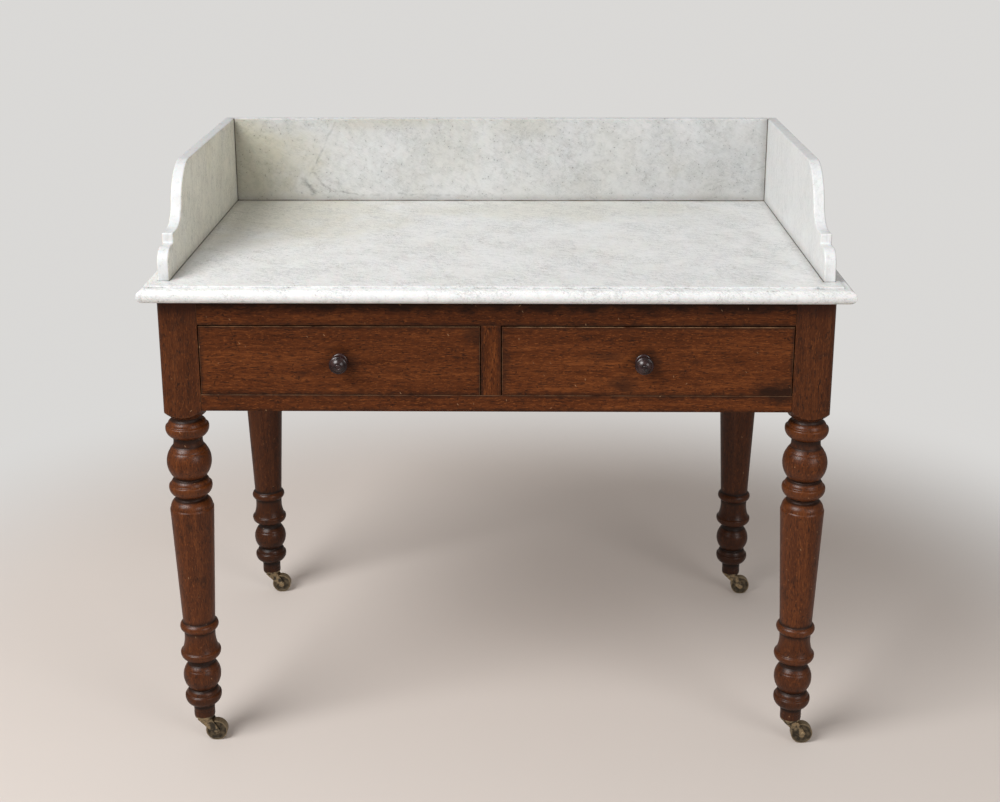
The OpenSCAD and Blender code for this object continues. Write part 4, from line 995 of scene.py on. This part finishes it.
class WASHSTAND_OT_stage(bpy.types.Operator):
    """Make the floor, the backdrop, the lights and the camera"""
    bl_idname = "washstand.stage"
    bl_label = "Stage"

    def execute(self, context):
        self.floor(context.scene.washstand_stage)
        self.lights(context.scene)
        self.camera(context.scene)
        context.scene.view_settings.view_transform = "Standard"
        return {"FINISHED"}

    def floor(self, stage):
        """A floor that sweeps up into a backdrop far behind."""
        near, far, rise, radius, half, steps = -6.0, 2.4, 5.0, 0.9, 7.0, 24
        outline = [(near, 0.0)]
        for i in range(steps + 1):
            angle = math.pi / 2 * i / steps
            outline.append((far + radius * math.sin(angle), radius * (1 - math.cos(angle))))
        outline.append((far + radius, rise))
        verts = [(x, y, z) for y, z in outline for x in (-half, half)]
        faces = [(2 * i, 2 * i + 1, 2 * i + 3, 2 * i + 2) for i in range(len(outline) - 1)]
        mesh = bpy.data.meshes.new("floor")
        mesh.from_pydata(verts, [], faces)
        mesh.shade_smooth()
        mesh.materials.append(self.floor_paint(stage))
        floor = placed("floor", mesh)

    def floor_paint(self, stage):
        """Matt paint that fades to the even backdrop for the camera, and to a dim room for glossy rays."""
        s = Shader("floor")
        paint = s.node("ShaderNodeBsdfDiffuse", {"Color": (*stage.floor, 1.0)})
        glossy = s.node("ShaderNodeLightPath", {}, "Is Glossy Ray")
        even = s.node("ShaderNodeEmission", {"Color": s.mix(stage.backdrop, stage.room, glossy)})
        camera = s.node("ShaderNodeLightPath", {}, "Is Camera Ray")
        far = s.ramp(s.length(s.point()), 0.82, 1.60)
        share = s.math("MAXIMUM", camera * far, glossy * (far * 0.4 + 0.6))
        s.node_output(s.node("ShaderNodeMixShader", {0: share, 1: paint, 2: even}))
        return s.material

    def lights(self, scene):
        """An even sky, a large soft light and a weaker one. The camera sees the backdrop, gloss the room."""
        stage = scene.washstand_stage
        world = bpy.data.worlds.new("studio")
        world.use_nodes = True
        tree = world.node_tree
        sky = tree.nodes["Background"]
        sky.inputs["Color"].default_value = (1.0, 1.0, 1.0, 1.0)
        sky.inputs["Strength"].default_value = stage.sky
        rays = tree.nodes.new("ShaderNodeLightPath")
        light = sky
        for ray, colour in (("Is Glossy Ray", stage.room), ("Is Camera Ray", stage.backdrop)):
            seen = add_node(tree, "ShaderNodeBackground", {"Color": (*colour, 1.0)})
            light = add_node(tree, "ShaderNodeMixShader",
                             {0: rays.outputs[ray], 1: light.outputs[0], 2: seen.outputs[0]})
        tree.links.new(light.outputs[0], tree.nodes["World Output"].inputs["Surface"])
        scene.world = world
        aim = Vector((0.0, 0.0, 0.6))
        for name, place, size, power in (
                ("window_light", stage.window_place, stage.window_size, stage.window_power),
                ("fill_light", stage.fill_place, stage.fill_size, stage.fill_power)):
            data = bpy.data.lights.new(name, "AREA")
            data.shape = "DISK"
            data.size = size
            data.energy = power
            lamp = placed(name, data)
            lamp.location = place
            lamp.rotation_euler = (aim - place).to_track_quat("-Z", "Y").to_euler()

    def camera(self, scene):
        """The photo's view: turned by yaw, pitch and roll, with a lens shift."""
        stage = scene.washstand_stage
        data = bpy.data.cameras.new("camera")
        data.sensor_width = 36.0
        data.lens = stage.lens
        data.shift_y = stage.shift
        camera = placed("camera", data)
        turn = (Matrix.Rotation(-stage.yaw, 4, "Z") @ Matrix.Rotation(math.pi / 2 - stage.pitch, 4, "X")
                @ Matrix.Rotation(stage.roll, 4, "Z"))
        camera.matrix_world = Matrix.Translation(stage.camera_place) @ turn
        scene.camera = camera


class WASHSTAND_PT_panel(bpy.types.Panel):
    """The washstand's settings and the steps that build its looks"""
    bl_idname = "WASHSTAND_PT_panel"
    bl_label = "Washstand"
    bl_space_type = "VIEW_3D"
    bl_region_type = "UI"
    bl_category = "Washstand"

    def draw(self, context):
        for group in GROUPS:
            settings = getattr(context.scene, group)
            box = self.layout.box()
            for name in settings.bl_rna.properties.keys():
                if name not in ("rna_type", "name"):
                    box.prop(settings, name)
        for operator in OPERATORS:
            self.layout.operator(operator.bl_idname)


GROUPS = {"washstand_marble": MarbleSettings, "washstand_wood": WoodSettings,
          "washstand_metal": MetalSettings, "washstand_turning": TurningSettings,
          "washstand_stage": StageSettings}
OPERATORS = (WASHSTAND_OT_stage, WASHSTAND_OT_marble, WASHSTAND_OT_stand, WASHSTAND_OT_drawers,
             WASHSTAND_OT_castors)
CLASSES = (*GROUPS.values(), *OPERATORS, WASHSTAND_PT_panel)


def register():
    for cls in CLASSES:
        bpy.utils.register_class(cls)
    for name, group in GROUPS.items():
        setattr(bpy.types.Scene, name, PointerProperty(type=group))


def unregister():
    for name in GROUPS:
        delattr(bpy.types.Scene, name)
    for cls in reversed(CLASSES):
        bpy.utils.unregister_class(cls)


def main():
    register()
    bpy.ops.washstand.stage()
    bpy.ops.washstand.marble()
    bpy.ops.washstand.stand()
    bpy.ops.washstand.drawers()
    bpy.ops.washstand.castors()


if __name__ == "__main__":
    main()
